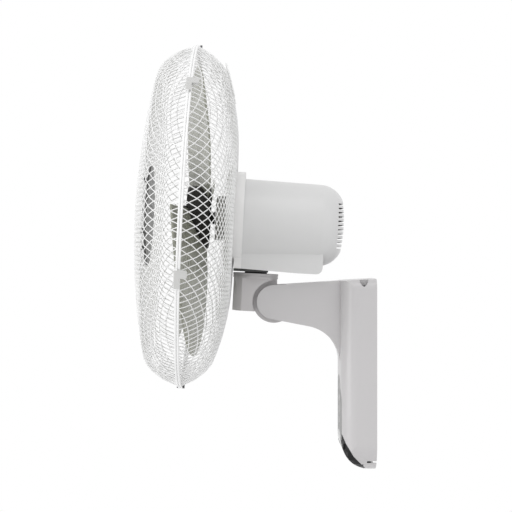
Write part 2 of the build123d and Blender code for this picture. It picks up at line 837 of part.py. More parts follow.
with BuildPart() as front_cover:
    add(axle_ring(cover_radius, sleeve_bore, cover_front, cover_back))
    add(axle_ring(cover_radius - cover_wall, 0, cover_front + cover_wall, cover_back + 1), mode=Mode.SUBTRACT)
    soft = edges().filter_by(GeomType.CIRCLE).group_by(Axis.Y)[0].sort_by(SortBy.RADIUS)[-1]
    fillet(soft, 1.2)
    add(cover_foot(0, cover_foot_front, cover_back))
    add(axle_ring(cover_radius - cover_wall, 0, cover_front + cover_wall, cover_back + 1), mode=Mode.SUBTRACT)
    add(cover_foot(housing_wall, cover_foot_front + cover_wall, cover_back + 1), mode=Mode.SUBTRACT)
    add(axle_ring(sleeve_radius, sleeve_bore, sleeve_front, cover_front + cover_wall))
    add(ring_bars(4, cover_post_ring, 4, cover_front + cover_wall, front_upright))
save(front_cover, "front_cover")


def housing_block(inset, front):
    """The rear motor housing's outer form, drawn in by a wall."""
    taper_end = housing_radius - housing_taper - inset
    back = housing_back - inset
    corner = housing_corner - inset
    bend = [(radians(turn), corner) for turn in (0, housing_bend / 2, housing_bend)]
    round_points = [(housing_shoulder + r * sin(t), taper_end - r + r * cos(t)) for t, r in bend]
    dome_edge = round_points[-1]
    dome_rise = back - dome_edge[0]
    dome_radius = (dome_rise**2 + dome_edge[1] ** 2) / (2 * dome_rise)
    dome_half = asin(dome_edge[1] / dome_radius) / 2
    dome_middle = (back - dome_radius * (1 - cos(dome_half)), dome_radius * sin(dome_half))
    with BuildPart() as block:
        with BuildSketch(side()):
            with BuildLine(Plane(origin=(0, -housing_axis_drop, 0))):
                axis_line = Line((front, 0), (front, housing_radius - inset))
                Line(axis_line @ 1, round_points[0])
                rounding = ThreePointArc(*round_points)
                end = (back, 0)
                ThreePointArc(rounding @ 1, dome_middle, end)
                Line(end, axis_line @ 0)
            make_face()
        revolve(axis=body_axis)
        with BuildSketch(side()):
            with BuildLine():
                Polyline(
                    (front, -30),
                    (front, belly_bottom_front + inset),
                    (housing_shoulder - 24, belly_bottom_back + inset),
                    (belly_back - inset, belly_bottom_back + inset),
                    (belly_back - inset, -38),
                    (belly_back - 30, -30),
                    close=True,
                )
            make_face()
            corner = vertices().group_by(Axis.Y)[0].sort_by(Axis.X)[-1]
            fillet(corner, belly_corner - inset)
        extrude(amount=belly_half_width - inset, both=True)
    return block.part


seam_flange_front = cover_back - 2.5
with BuildPart() as motor_housing:
    add(housing_block(0, cover_back))
    add(axle_ring(cover_radius - cover_wall, 0, seam_flange_front, cover_back))
    add(housing_block(housing_wall, seam_flange_front - 1), mode=Mode.SUBTRACT)
    add(swing_bar(bush_radius, pad_bottom - 1, bracket_bottom), mode=Mode.SUBTRACT)
    with BuildSketch(face(housing_back + 1)):
        for row in range(vent_count):
            rise = vent_pitch * (row - (vent_count - 1) / 2)
            with Locations((0, rise - housing_axis_drop)):
                SlotOverall(2 * sqrt(vent_reach**2 - rise**2), vent_height)
    extrude(amount=housing_back + 1 - vent_floor, mode=Mode.SUBTRACT)
save(motor_housing, "motor_housing")

with BuildPart() as swivel_pad:
    with BuildSketch(deck(pad_bottom)):
        with Locations((0, (cover_foot_front + pad_back) / 2)):
            Rectangle(2 * belly_half_width - 4, pad_back - cover_foot_front)
    extrude(amount=belly_bottom_front - pad_bottom)
    add(housing_block(0, cover_foot_front - 1), mode=Mode.SUBTRACT)
    add(swing_bar(bush_radius, pad_bottom - 1, bracket_bottom), mode=Mode.SUBTRACT)
save(swivel_pad, "swivel_pad")


# --- Guards ---------------------------------------------------------------------------------------------
def front_profile(radius, inset):
    """Depth of the front guard's wires in front of the rim at a radius."""
    crown = front_depth - inset - radius**2 / (2 * front_crown_radius)
    return corner_fall(crown, radius, inset)


def rear_profile(radius, inset):
    """Depth of the rear guard's wires behind the rim at a radius."""
    crown = rear_depth - inset - max(0, radius - rear_flat_radius) ** 2 / (2 * rear_crown_radius)
    return corner_fall(crown, radius, inset)


def corner_fall(crown, radius, inset):
    """Brings a crowned depth down to the rim round the guard's corner."""
    end = rim_radius - wire_radius - 0.1 - inset
    share = min(1, max(0, radius - corner_start) / (end - corner_start))
    rim_level = rim_gap + rim_width / 2
    return rim_level + (crown - rim_level) * (1 - share**2) ** corner_power


def wire_run(profile, facing, angle, offset, inset, first, last):
    """One stretch of a straight-laid wire, in a plane parallel to the fan's axis."""
    end = rim_radius - wire_radius - 0.1 - inset
    steps = 7
    shares = [sin(pi / 2 * step / steps) for step in range(steps + 1)]
    if first < 0:
        spots = [share * first for share in reversed(shares)] + [share * last for share in shares[1:]]
    else:
        spots = [first + share * (last - first) for share in shares]
    route = Edge.make_spline([Vector(x, profile(min(end, hypot(x, offset)), inset)) for x in spots])
    marks = [step / (2 * steps) for step in range(2 * steps + 1)]
    sides = []
    for side_step in (wire_half, -wire_half):
        normals = [Vector(-(route % mark).Y, (route % mark).X) for mark in marks]
        sides.append([(route @ mark) + normal * side_step for mark, normal in zip(marks, normals)])
    turn = radians(angle)
    along_dir = up_dir * cos(turn) - across_dir * sin(turn)
    foot = place(offset * cos(turn), 0, offset * sin(turn))
    flank = Plane(origin=foot, x_dir=along_dir, z_dir=along_dir.cross(back_dir * facing)).offset(-wire_half)
    with BuildPart() as wire:
        with BuildSketch(flank):
            with BuildLine():
                near = Spline(*sides[0])
                far = Spline(*sides[1])
                Line(near @ 0, far @ 0)
                Line(near @ 1, far @ 1)
            make_face()
        extrude(amount=2 * wire_half)
    return wire.part


def guard_wires(profile, facing, hole=0.0):
    """Both crossing layers of a guard's wires, which stop at a round hole."""
    lowest = -wire_pitch * (wire_count - 1) / 2
    offsets = [lowest + n * wire_pitch for n in range(wire_count)]
    wires = []
    for angle, inset in ((45, 0.0), (135, layer_step)):
        for offset in offsets:
            reach = sqrt((rim_radius - wire_radius - 0.1 - inset) ** 2 - offset**2)
            if hole > abs(offset):
                inner = sqrt(hole**2 - offset**2)
                wires.append(wire_run(profile, facing, angle, offset, inset, inner, reach))
                wires.append(wire_run(profile, facing, angle + 180, -offset, inset, inner, reach))
            else:
                wires.append(wire_run(profile, facing, angle, offset, inset, -reach, reach))
    return wires


def clip_frame(number):
    """Plane of a rim clip's underside: x runs along the rim, y to the front, z outwards."""
    angle = radians(clip_angles[number])
    outward = across_dir * cos(angle) + up_dir * sin(angle)
    along = up_dir * cos(angle) - across_dir * sin(angle)
    return Plane(origin=fan_centre + outward * (rim_radius + fit_gap), x_dir=along, z_dir=outward)


def clip_pin(number, radius, length):
    """A round bar on a rim clip's hinge line."""
    frame = clip_frame(number)
    start = frame.from_local_coords(Vector(-length / 2, clip_pivot_front, clip_thick / 2))
    with BuildPart() as pin:
        with BuildSketch(Plane(origin=start, z_dir=frame.x_dir)):
            Circle(radius)
        extrude(amount=length)
    return pin.part


def clip_ears(number):
    """The two small ears on the front rim that hold a rim clip, and the pin between them."""
    ear_out = clip_length / 2 + running_gap
    with BuildPart() as ears:
        with BuildSketch(clip_frame(number).offset(-2)):
            for low in (ear_out, -ear_out - clip_ear_thick):
                with Locations((low + clip_ear_thick / 2, (leg_front + rim_gap) / 2)):
                    Rectangle(clip_ear_thick, leg_front - rim_gap)
        extrude(amount=2 + clip_thick)
        add(clip_pin(number, clip_pin_radius, 2 * ear_out + clip_ear_thick))
    return ears.part


def rim_ring(facing):
    """A guard's rim with its two screw lugs."""
    near = rim_gap
    far = rim_gap + rim_width
    span = (near, far) if facing > 0 else (-far, -near)
    with BuildPart() as ring:
        add(axle_ring(rim_radius, rim_radius - rim_depth, *span))
        with BuildSketch(face(span[1])):
            for sign in (1, -1):
                with Locations((0, sign * (rim_radius - 2))):
                    Rectangle(2 * lug_half_width, 8)
        extrude(amount=rim_width)
        with BuildSketch(face(span[1])):
            for sign in (1, -1):
                with Locations((0, sign * (rim_radius - 1.5))):
                    Circle(rim_screw_radius + running_gap)
        extrude(amount=rim_width, mode=Mode.SUBTRACT)
    return ring.part


with BuildPart() as front_guard:
    add(rim_ring(-1))
    for number in range(len(clip_angles)):
        add(clip_ears(number))
    add(guard_wires(front_profile, -1))
save(front_guard, "front_guard")

with BuildPart() as rear_guard:
    add(guard_wires(rear_profile, 1, dish_outer - 2.5))
    with BuildSketch(side()):
        with BuildLine():
            Polyline(
                (dish_back - dish_plate, sleeve_radius + fit_gap),
                (dish_back, sleeve_radius + fit_gap),
                (dish_back, dish_inner),
                (rear_depth - 3.8, dish_outer - 4),
                (rear_depth + 0.3, dish_outer - 4),
                (rear_depth + 0.3, dish_outer),
                (rear_depth - 4.6, dish_outer),
                (rear_depth - 4.6, dish_outer - 3),
                (dish_back - dish_plate, dish_inner + 1),
                close=True,
            )
        make_face()
    revolve(axis=fan_axis)
    add(rim_ring(1))
save(rear_guard, "rear_guard")

with BuildPart() as guard_nut:
    add(axle_ring(guard_nut_radius, sleeve_radius, guard_nut_front, dish_back - dish_plate))
    with BuildSketch(face(dish_back - dish_plate)):
        with PolarLocations(guard_nut_radius + 0.6, 24):
            Circle(1.8)
    extrude(amount=dish_back - dish_plate - guard_nut_front, mode=Mode.SUBTRACT)
save(guard_nut, "guard_nut")

post_ring = wire_pitch * hypot(0.5, 1.5)
post_first = 45 + degrees(atan2(0.5, 1.5))
post_end = -front_profile(post_ring, layer_step) + wire_radius + fit_gap
with BuildPart() as badge_disc:
    add(axle_ring(badge_radius, 0, badge_back - badge_thick, badge_back))
    soft = edges().filter_by(GeomType.CIRCLE)
    fillet(soft, 0.9)
    add(ring_bars(4, post_ring, 3, post_end, badge_back - badge_thick + 0.1, post_first))
save(badge_disc, "badge_disc")

with BuildPart() as rim_screws:
    for sign in (1, -1):
        with BuildSketch(face(rim_gap + rim_width)):
            with Locations((0, sign * (rim_radius - 1.5))):
                Circle(rim_screw_radius)
        extrude(amount=2 * (rim_gap + rim_width))
        with BuildSketch(face(-rim_gap - rim_width)):
            with Locations((0, sign * (rim_radius - 1.5))):
                Circle(1.75 * rim_screw_radius)
        extrude(amount=1.8)
save(rim_screws, "rim_screws")

with BuildPart() as rim_nuts:
    for sign in (1, -1):
        with BuildSketch(face(rim_gap + rim_width + 2.4)):
            with Locations((0, sign * (rim_radius - 1.5))):
                RegularPolygon(1.75 * rim_screw_radius, 6, major_radius=False)
        extrude(amount=2.4)
save(rim_nuts, "rim_nuts")

# The carrying loop stands on the outer wires of the rear guard, where two of them pass.
foot_across = sqrt(2) * wire_pitch * 4.5 - handle_low
foot_radius = hypot(foot_across, handle_low)
foot_back = rear_profile(foot_radius, 0) + wire_radius + handle_wire_radius + fit_gap
loop_lean = foot_back - rear_profile(handle_high, 0) - 5.0
loop_up = (up_dir * (handle_high - handle_low) - back_dir * loop_lean).normalized()
loop_height = hypot(handle_high - handle_low, loop_lean)
loop_plane = Plane(origin=place(0, foot_back, handle_low), x_dir=across_dir, z_dir=across_dir.cross(loop_up))
with BuildPart() as carry_loop:
    with BuildLine(loop_plane) as loop_route:
        FilletPolyline(
            (-foot_across, 0),
            (-foot_across, loop_height),
            (foot_across, loop_height),
            (foot_across, 0),
            radius=handle_corner,
        )
    with BuildSketch(Plane(origin=loop_route.wires()[0] @ 0, z_dir=loop_route.wires()[0] % 0)):
        Circle(handle_wire_radius)
    sweep(path=loop_route.wires()[0])
save(carry_loop, "carry_loop")

# --- Rim clips ------------------------------------------------------------------------------------------
for number in range(len(clip_angles)):
    frame = clip_frame(number)
    bar_along = (clip_length - clip_bar) / 2 * (1 if clip_angles[number] < 90 else -1)
    with BuildPart() as clip:
        with BuildSketch(frame):
            with Locations((0, leg_front - clip_leg / 2)):
                Rectangle(clip_length, clip_leg)
            with Locations((bar_along, leg_front - clip_reach / 2)):
                Rectangle(clip_bar, clip_reach)
        extrude(amount=clip_thick)
        front_axis = Axis(fan_centre, -back_dir)
        tip = edges().filter_by(Axis(fan_centre, frame.z_dir)).sort_by(front_axis)[:2]
        fillet(tip, 2.5)
        knuckle = edges().filter_by(Axis(fan_centre, frame.x_dir)).group_by(front_axis)[-1]
        fillet(knuckle, clip_thick / 2 - 0.05)
        with BuildSketch(frame.offset(-clip_hook)):
            with Locations((bar_along, -rim_gap - rim_width - 0.1 - clip_hook_thick / 2)):
                Rectangle(clip_bar, clip_hook_thick)
        extrude(amount=clip_hook + clip_thick / 2)
        add(clip_pin(number, clip_pin_radius + running_gap, clip_length + 1), mode=Mode.SUBTRACT)
    save(clip, f"rim_clip_{number + 1}")


# --- Fan blades -----------------------------------------------------------------------------------------
# Rows from the root to the tip: radius, turn of the trailing and of the leading edge from the blade's middle, and
# the depth of either edge.
blade_rows = (
    (34.0, 50.0, -42.0, -0.5, 23.5),
    (70.0, 43.4, -52.0, -5.0, 26.0),
    (110.0, 40.7, -53.0, -8.5, 26.5),
    (150.0, 39.4, -46.0, -11.0, 25.0),
    (176.0, 39.0, -41.0, -12.3, 21.5),
    (190.0, 38.7, -37.0, -13.0, 17.5),
)
blade_columns = 8
tip_corner_trailing = 4.0
tip_corner_leading = 11.0


def blade_surface(angle):
    """The middle surface of one wide, twisted blade, as seen from the front at an angle round the axis."""
    root = blade_rows[0][0]
    tip = blade_rows[-1][0]
    grid = []
    for radius, trailing, leading, depth_trailing, depth_leading in blade_rows:
        row = []
        for column in range(blade_columns + 1):
            share = column / blade_columns
            corner = tip_corner_trailing * max(0, 1 - 4 * share) ** 2 + tip_corner_leading * max(0, 4 * share - 3) ** 2
            reach = radius - corner * (radius - root) / (tip - root)
            turn = radians(angle + trailing + (leading - trailing) * share)
            depth = depth_trailing + (depth_leading - depth_trailing) * share
            row.append(place(reach * cos(turn), depth, reach * sin(turn)))
        grid.append(row)
    return Face.make_surface_from_array_of_points(grid, tol=0.05, min_deg=3, max_deg=5)


with BuildPart() as fan_blades:
    for number in range(blade_count):
        middle = blade_surface(blade_first_angle + number * 360 / blade_count)
        thicken(middle, amount=blade_thick / 2, both=True)
    add(axle_ring(hub_radius - hub_wall, 0, hub_front - 40, hub_back + 40), mode=Mode.SUBTRACT)
    add(axle_ring(hub_radius, 0, hub_front, hub_back))
    add(axle_ring(hub_radius - hub_wall, 0, hub_front + hub_wall, hub_back + 1), mode=Mode.SUBTRACT)
    add(axle_ring(hub_boss_radius, 0, hub_front, hub_boss_back))
    add(axle_ring(shaft_radius, 0, hub_front - 1, hub_boss_back + 1), mode=Mode.SUBTRACT)
save(fan_blades, "fan_blades")

with BuildPart() as blade_nut:
    add(axle_ring(blade_nut_radius, 0, blade_nut_front, hub_front))
    soft = edges().filter_by(GeomType.CIRCLE).group_by(Axis.Y)[0]
    fillet(soft, 4)
    add(axle_ring(shaft_radius, 0, shaft_front, hub_front + 1), mode=Mode.SUBTRACT)
save(blade_nut, "blade_nut")

print(len(saved), "pieces")
print("fan centre", tuple(round(v, 2) for v in fan_centre))
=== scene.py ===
"""Looks of a wall mounted fan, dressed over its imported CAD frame.

Sizes are in metres, in the row's frame: the origin lies on the wall at the middle of the column, +Y points into the
wall and +Z up, and the fan blows towards -Y. The head's pieces are modelled in head measures (x across, y back from
the rim's plane, z up from the fan's axis) and then settled at the head's place and tilt.
"""

import logging
import math
from dataclasses import dataclass
from enum import Enum
from typing import Iterable

import bpy
from mathutils import Matrix, Vector

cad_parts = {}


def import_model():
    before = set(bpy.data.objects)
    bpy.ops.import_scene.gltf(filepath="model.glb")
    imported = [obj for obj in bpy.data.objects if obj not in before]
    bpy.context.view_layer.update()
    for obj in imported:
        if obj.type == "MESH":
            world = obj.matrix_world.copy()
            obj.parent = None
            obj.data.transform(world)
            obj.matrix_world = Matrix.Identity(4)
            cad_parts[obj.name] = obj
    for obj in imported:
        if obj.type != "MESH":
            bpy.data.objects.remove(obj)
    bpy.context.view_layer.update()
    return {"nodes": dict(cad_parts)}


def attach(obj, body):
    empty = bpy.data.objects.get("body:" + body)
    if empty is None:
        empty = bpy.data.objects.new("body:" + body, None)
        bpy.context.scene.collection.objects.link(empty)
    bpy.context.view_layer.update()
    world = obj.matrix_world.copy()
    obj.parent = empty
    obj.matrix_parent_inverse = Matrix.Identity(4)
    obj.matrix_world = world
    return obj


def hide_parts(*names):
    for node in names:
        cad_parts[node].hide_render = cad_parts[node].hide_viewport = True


log = logging.getLogger("fan")

Piece = bpy.types.Object
Socket = bpy.types.NodeSocket
Point = tuple[float, float, float]
Colour = tuple[float, float, float]

# The head's place: its lean at rest, the tilt hinge, and the fan's centre from the hinge in the head's directions.
HEAD_TILT = math.radians(3.0)
HINGE = Vector((0.0, -0.127, 0.088))
FAN_FORWARD = 0.112
FAN_RISE = 0.1016

MERGE_DISTANCE = 1e-6
# Angles in degrees past which an edge stays sharp in shading.
FITTING_ANGLE = 50.0
TURNED_ANGLE = 40.0
BLOCK_SEGMENTS = 2

# Patterns of the finishes: sizes and depths in metres.
PATTERN_LOW = 0.3
PATTERN_HIGH = 0.7
MOTTLE_SIZE = 0.035
MOTTLE_DETAIL = 4.0
WEAR_SIZE = 0.012
WEAR_DETAIL = 5.0
GRAIN_DETAIL = 3.0
GRAIN_DEPTH = 0.0001
BRUSH_STRETCH = 24.0

WHITE = (1.0, 1.0, 1.0, 1.0)


def head_matrix() -> Matrix:
    """The head's place and tilt in the row's frame.

    Returns:
        The matrix that takes head measures to the row's frame.
    """
    turn = Matrix.Rotation(-HEAD_TILT, 4, "X")
    centre = HINGE + turn.to_3x3() @ Vector((0.0, -FAN_FORWARD, FAN_RISE))
    return Matrix.Translation(centre) @ turn


# --- Working by hand: selection, shaping and finishing --------------------------------------------------


def clear_selection() -> None:
    """Deselects every object."""
    bpy.ops.object.select_all(action="DESELECT")


def pick(piece: Piece) -> None:
    """Makes a piece the only selected and active one.

    Args:
        piece: The piece.
    """
    clear_selection()
    piece.select_set(True)
    bpy.context.view_layer.objects.active = piece


def named(piece: Piece, name: str) -> Piece:
    """Gives an object and its data one name.

    Args:
        piece: The object.
        name: The name.

    Returns:
        The same object.
    """
    piece.name = name
    piece.data.name = name
    return piece


def finish_modifiers(piece: Piece) -> None:
    """Applies every modifier of a piece in order.

    Args:
        piece: The piece.
    """
    pick(piece)
    for modifier in list(piece.modifiers):
        bpy.ops.object.modifier_apply(modifier=modifier.name)


def join(pieces: list[Piece], name: str) -> Piece:
    """Joins several meshes into one piece.

    Args:
        pieces: The meshes; the first one keeps its place.
        name: The joined piece's name.

    Returns:
        The joined piece.
    """
    clear_selection()
    for piece in pieces:
        piece.select_set(True)
    bpy.context.view_layer.objects.active = pieces[0]
    bpy.ops.object.join()
    return named(bpy.context.view_layer.objects.active, name)


def smooth(piece: Piece, angle: float) -> None:
    """Shades a piece smooth, apart from its sharp edges.

    Args:
        piece: The piece.
        angle: The angle in degrees past which an edge stays sharp.
    """
    pick(piece)
    bpy.ops.object.shade_smooth_by_angle(angle=math.radians(angle))


def recalculate_outside(piece: Piece) -> None:
    """Merges doubles and points every face outwards.

    Args:
        piece: The piece.
    """
    pick(piece)
    bpy.ops.object.mode_set(mode="EDIT")
    bpy.ops.mesh.select_all(action="SELECT")
    bpy.ops.mesh.remove_doubles(threshold=MERGE_DISTANCE)
    bpy.ops.mesh.normals_make_consistent(inside=False)
    bpy.ops.object.mode_set(mode="OBJECT")


def settle(piece: Piece, place: Matrix) -> None:
    """Applies a place to a piece's mesh, so its object stays at the origin.

    Args:
        piece: The piece.
        place: The matrix that moves it from where it is.
    """
    pick(piece)
    piece.matrix_world = place @ piece.matrix_world
    bpy.ops.object.transform_apply(location=True, rotation=True, scale=True)


def copy_of(piece: Piece, place: Matrix, name: str) -> Piece:
    """Copies a piece with its own mesh to another place.

    Args:
        piece: The piece to copy.
        place: The matrix that moves the copy from the first piece's place.
        name: The copy's name.

    Returns:
        The copy, with its place applied.
    """
    pick(piece)
    bpy.ops.object.duplicate()
    twin = named(bpy.context.view_layer.objects.active, name)
    settle(twin, place)
    return twin


def spun(name: str, outline: list[tuple[float, float]], steps: int) -> Piece:
    """Turns a closed outline round the head's axis, as on a lathe.

    Args:
        name: The piece's name.
        outline: Points (radius, back) in metres, in order round the section.
        steps: How many steps the full turn takes.

    Returns:
        The turned piece, in head measures.
    """
    clear_selection()
    bpy.ops.mesh.primitive_circle_add(vertices=len(outline), radius=outline[0][0])
    piece = named(bpy.context.active_object, name)
    for vertex, (radius, back) in zip(piece.data.vertices, outline):
        vertex.co = (radius, back, 0.0)
    pick(piece)
    bpy.ops.object.mode_set(mode="EDIT")
    bpy.ops.mesh.select_all(action="SELECT")
    bpy.ops.mesh.spin(steps=steps, angle=2 * math.pi, center=(0, 0, 0), axis=(0, 1, 0))
    bpy.ops.object.mode_set(mode="OBJECT")
    recalculate_outside(piece)
    return piece


# --- Finishes -------------------------------------------------------------------------------------------


class Grain(Enum):
    """The kind of fine relief that a surface has."""

    SPARK = "spark"
    BRUSHED = "brushed"
    ORANGE_PEEL = "orange_peel"


class Bench:
    """A material being wired up, with its output and principled shader in place."""

    def __init__(self, name: str) -> None:
        """Starts a material.

        Args:
            name: The material's name.
        """
        self.material = bpy.data.materials.new(name)
        self.material.use_nodes = True
        self.tree = self.material.node_tree
        self.shader = next(n for n in self.tree.nodes if n.type == "BSDF_PRINCIPLED")
        self.place = self.tree.nodes.new("ShaderNodeTexCoord").outputs["Object"]

    def link(self, source: Socket, target: Socket) -> None:
        """Joins two sockets.

        Args:
            source: The output.
            target: The input.
        """
        self.tree.links.new(source, target)

    def noise(self, size: float, detail: float, stretch: Point = (1.0, 1.0, 1.0)) -> Socket:
        """Adds a noise pattern.

        Args:
            size: The pattern's size in metres.
            detail: How much finer detail it holds.
            stretch: How many times finer it is along each axis.

        Returns:
            The pattern's value, about 0.5 in the middle.
        """
        mapping = self.tree.nodes.new("ShaderNodeMapping")
        mapping.inputs["Scale"].default_value = tuple(s / size for s in stretch)
        self.link(self.place, mapping.inputs["Vector"])
        pattern = self.tree.nodes.new("ShaderNodeTexNoise")
        pattern.inputs["Scale"].default_value = 1.0
        pattern.inputs["Detail"].default_value = detail
        self.link(mapping.outputs["Vector"], pattern.inputs["Vector"])
        return pattern.outputs["Fac"]

    def ranged(self, value: Socket, low: float, high: float) -> Socket:
        """Spreads a pattern's middle range between two values.

        Args:
            value: The pattern.
            low: The value at its darker places.
            high: The value at its lighter places.

        Returns:
            The spread value.
        """
        node = self.tree.nodes.new("ShaderNodeMapRange")
        node.inputs["From Min"].default_value = PATTERN_LOW
        node.inputs["From Max"].default_value = PATTERN_HIGH
        node.inputs["To Min"].default_value = low
        node.inputs["To Max"].default_value = high
        self.link(value, node.inputs["Value"])
        return node.outputs["Result"]

    def blended(self, share: Socket, first: Iterable[float], second: Iterable[float]) -> Socket:
        """Mixes two colours by a pattern.

        Args:
            share: How much of the second colour shows.
            first: The first colour.
            second: The second colour.

        Returns:
            The mixed colour.
        """
        node = self.tree.nodes.new("ShaderNodeMix")
        node.data_type = "RGBA"
        colours = [s for s in node.inputs if s.type == "RGBA"]
        colours[0].default_value = (*first, 1.0)
        colours[1].default_value = (*second, 1.0)
        self.link(share, node.inputs["Factor"])
        return next(s for s in node.outputs if s.type == "RGBA")

    def relief(self, height: Socket, depth: float, strength: float) -> None:
        """Raises the surface by a pattern.

        Args:
            height: The pattern.
            depth: Its depth in metres.
            strength: How strongly it shows.
        """
        bump = self.tree.nodes.new("ShaderNodeBump")
        bump.inputs["Distance"].default_value = depth
        bump.inputs["Strength"].default_value = strength
        self.link(height, bump.inputs["Height"])
        self.link(bump.outputs["Normal"], self.shader.inputs["Normal"])


@dataclass(frozen=True)
class Finish:
    """A finish with fine relief, slight mottling and uneven gloss.

    Attributes:
        name: The material's name.
        colour: Its linear colour.
        roughness: Its middle roughness.
        metallic: 1 for bare metal.
        grain: The kind of fine relief.
        grain_size: Size of that relief in metres.
        grain_strength: How strongly it shows.
        mottling: Share by which the colour drifts either way.
        unevenness: How far the roughness drifts either way.
        coat: Weight of the clear coat.
        specular: Level of mirror reflection.
        alpha: 1 for opaque.
    """

    name: str
    colour: Colour
    roughness: float = 0.35
    metallic: float = 0.0
    grain: Grain = Grain.SPARK
    grain_size: float = 0.0006
    grain_strength: float = 0.12
    mottling: float = 0.03
    unevenness: float = 0.06
    coat: float = 0.0
    specular: float = 0.5
    alpha: float = 1.0

    def shade(self, factor: float) -> Colour:
        """The finish's colour, lighter or darker.

        Args:
            factor: How many times lighter.

        Returns:
            The colour.
        """
        return tuple(min(1.0, c * factor) for c in self.colour)

    def make(self) -> bpy.types.Material:
        """Builds the finish's material.

        Returns:
            The material.
        """
        bench = Bench(self.name)
        inputs = bench.shader.inputs
        inputs["Metallic"].default_value = self.metallic
        inputs["Coat Weight"].default_value = self.coat
        inputs["Specular IOR Level"].default_value = self.specular
        inputs["Alpha"].default_value = self.alpha
        share = bench.ranged(bench.noise(MOTTLE_SIZE, MOTTLE_DETAIL), 0.0, 1.0)
        mottled = bench.blended(share, self.shade(1 - self.mottling), self.shade(1 + self.mottling))
        bench.link(mottled, inputs["Base Color"])
        wear = bench.noise(WEAR_SIZE, WEAR_DETAIL)
        worn = bench.ranged(wear, self.roughness - self.unevenness, self.roughness + self.unevenness)
        bench.link(worn, inputs["Roughness"])
        stretch = (1.0, BRUSH_STRETCH, BRUSH_STRETCH) if self.grain is Grain.BRUSHED else (1.0, 1.0, 1.0)
        detail = 0.0 if self.grain is Grain.ORANGE_PEEL else GRAIN_DETAIL
        bench.relief(bench.noise(self.grain_size, detail, stretch), GRAIN_DEPTH, self.grain_strength)
        return bench.material


WHITE_SHELL = Finish(
    "white_shell",
    (0.572, 0.560, 0.566),
    roughness=0.32,
    grain=Grain.ORANGE_PEEL,
    grain_size=0.006,
    grain_strength=0.004,
    mottling=0.004,
    unevenness=0.015,
    coat=0.10,
)
WHITE_HOUSING = Finish(
    "white_housing",
    (0.69, 0.69, 0.69),
    roughness=0.34,
    grain_size=0.0008,
    grain_strength=0.05,
    mottling=0.010,
)
# The cover's white is lighter than the housing's. A little of that is the cover's own lighter tone, and the rest is
# painted light that lifts the shade the guard casts on it.
WHITE_COVER_PAINTED_LIGHT = Finish(
    "white_cover_painted_light",
    (0.84, 0.835, 0.83),
    roughness=0.34,
    grain_size=0.0008,
    grain_strength=0.05,
    mottling=0.010,
)
WHITE_WIRE = Finish(
    "white_wire",
    (0.92, 0.92, 0.92),
    roughness=0.30,
    grain=Grain.ORANGE_PEEL,
    grain_size=0.003,
    grain_strength=0.03,
    mottling=0.008,
)
GREY_NECK = Finish(
    "grey_neck",
    (0.56, 0.545, 0.55),
    roughness=0.38,
    grain_size=0.0008,
    grain_strength=0.08,
    mottling=0.02,
)
# The swivel pad's near black is partly its own dark tone and partly painted shade, standing in for the shadow in the
# gap between the head and the neck.
DARK_PAD_PAINTED_SHADE = Finish("dark_pad_painted_shade", (0.055, 0.055, 0.055), roughness=0.55, grain_strength=0.15, mottling=0.08, specular=0.3)
PALE_PLATE = Finish("pale_plate", (0.60, 0.60, 0.60), roughness=0.5, grain_strength=0.15)
SMOKED_BLADE = Finish(
    "smoked_blade",
    (0.350, 0.356, 0.296),
    roughness=0.25,
    grain=Grain.ORANGE_PEEL,
    grain_size=0.01,
    grain_strength=0.03,
    mottling=0.04,
    specular=0.35,
    alpha=0.86,
)
DARK_HUB = Finish("dark_hub", (0.012, 0.011, 0.009), roughness=0.38, grain_strength=0.06, mottling=0.08, specular=0.2)
PALE_NUT = Finish("pale_nut", (0.34, 0.335, 0.31), roughness=0.42, mottling=0.06)
DARK_BADGE = Finish(
    "dark_badge",
    (0.10, 0.10, 0.10),
    roughness=0.32,
    grain_strength=0.05,
    mottling=0.05,
    specular=0.35,
)
BLACK_WINDOW = Finish(
    "black_window",
    (0.006, 0.006, 0.007),
    roughness=0.10,
    grain=Grain.ORANGE_PEEL,
    grain_size=0.02,
    grain_strength=0.01,
    mottling=0.2,
    unevenness=0.02,
    specular=0.3,
)
GREY_BEZEL = Finish("grey_bezel", (0.30, 0.30, 0.30), roughness=0.45, grain_strength=0.15, mottling=0.04)
BUTTON_GREY = Finish("button_grey", (0.55, 0.55, 0.55), roughness=0.4, mottling=0.03)
CLIP_GREY = Finish("clip_grey", (0.60, 0.60, 0.59), roughness=0.4, mottling=0.02)
BLACK_RUBBER = Finish("black_rubber", (0.02, 0.02, 0.02), roughness=0.7, grain_strength=0.3, mottling=0.15)
BLACK_FIBRE = Finish(
    "black_fibre",
    (0.03, 0.03, 0.03),
    roughness=0.6,
    grain_strength=0.3,
    mottling=0.15,
    specular=0.3,
)
ZINC_STEEL = Finish(
    "zinc_steel",
    (0.55, 0.56, 0.58),
    roughness=0.38,
    metallic=1.0,
    grain=Grain.BRUSHED,
    grain_size=0.02,
    grain_strength=0.1,
    mottling=0.06,
)
DARK_STEEL = Finish(
    "dark_steel",
    (0.09, 0.09, 0.095),
    roughness=0.40,
    metallic=1.0,
    grain=Grain.BRUSHED,
    grain_size=0.02,
    grain_strength=0.1,
    mottling=0.08,
)
BRIGHT_STEEL = Finish(
    "bright_steel",
    (0.60, 0.60, 0.62),
    roughness=0.24,
    metallic=1.0,
    grain=Grain.BRUSHED,
    grain_size=0.03,
    grain_strength=0.06,
)
BRASS = Finish("sintered_brass", (0.60, 0.45, 0.20), roughness=0.42, metallic=1.0, grain_strength=0.2, mottling=0.08)
COPPER = Finish(
    "enamelled_copper",
    (0.55, 0.22, 0.09),
    roughness=0.35,
    metallic=1.0,
    grain=Grain.BRUSHED,
    grain_size=0.01,
    grain_strength=0.4,
    mottling=0.12,
)
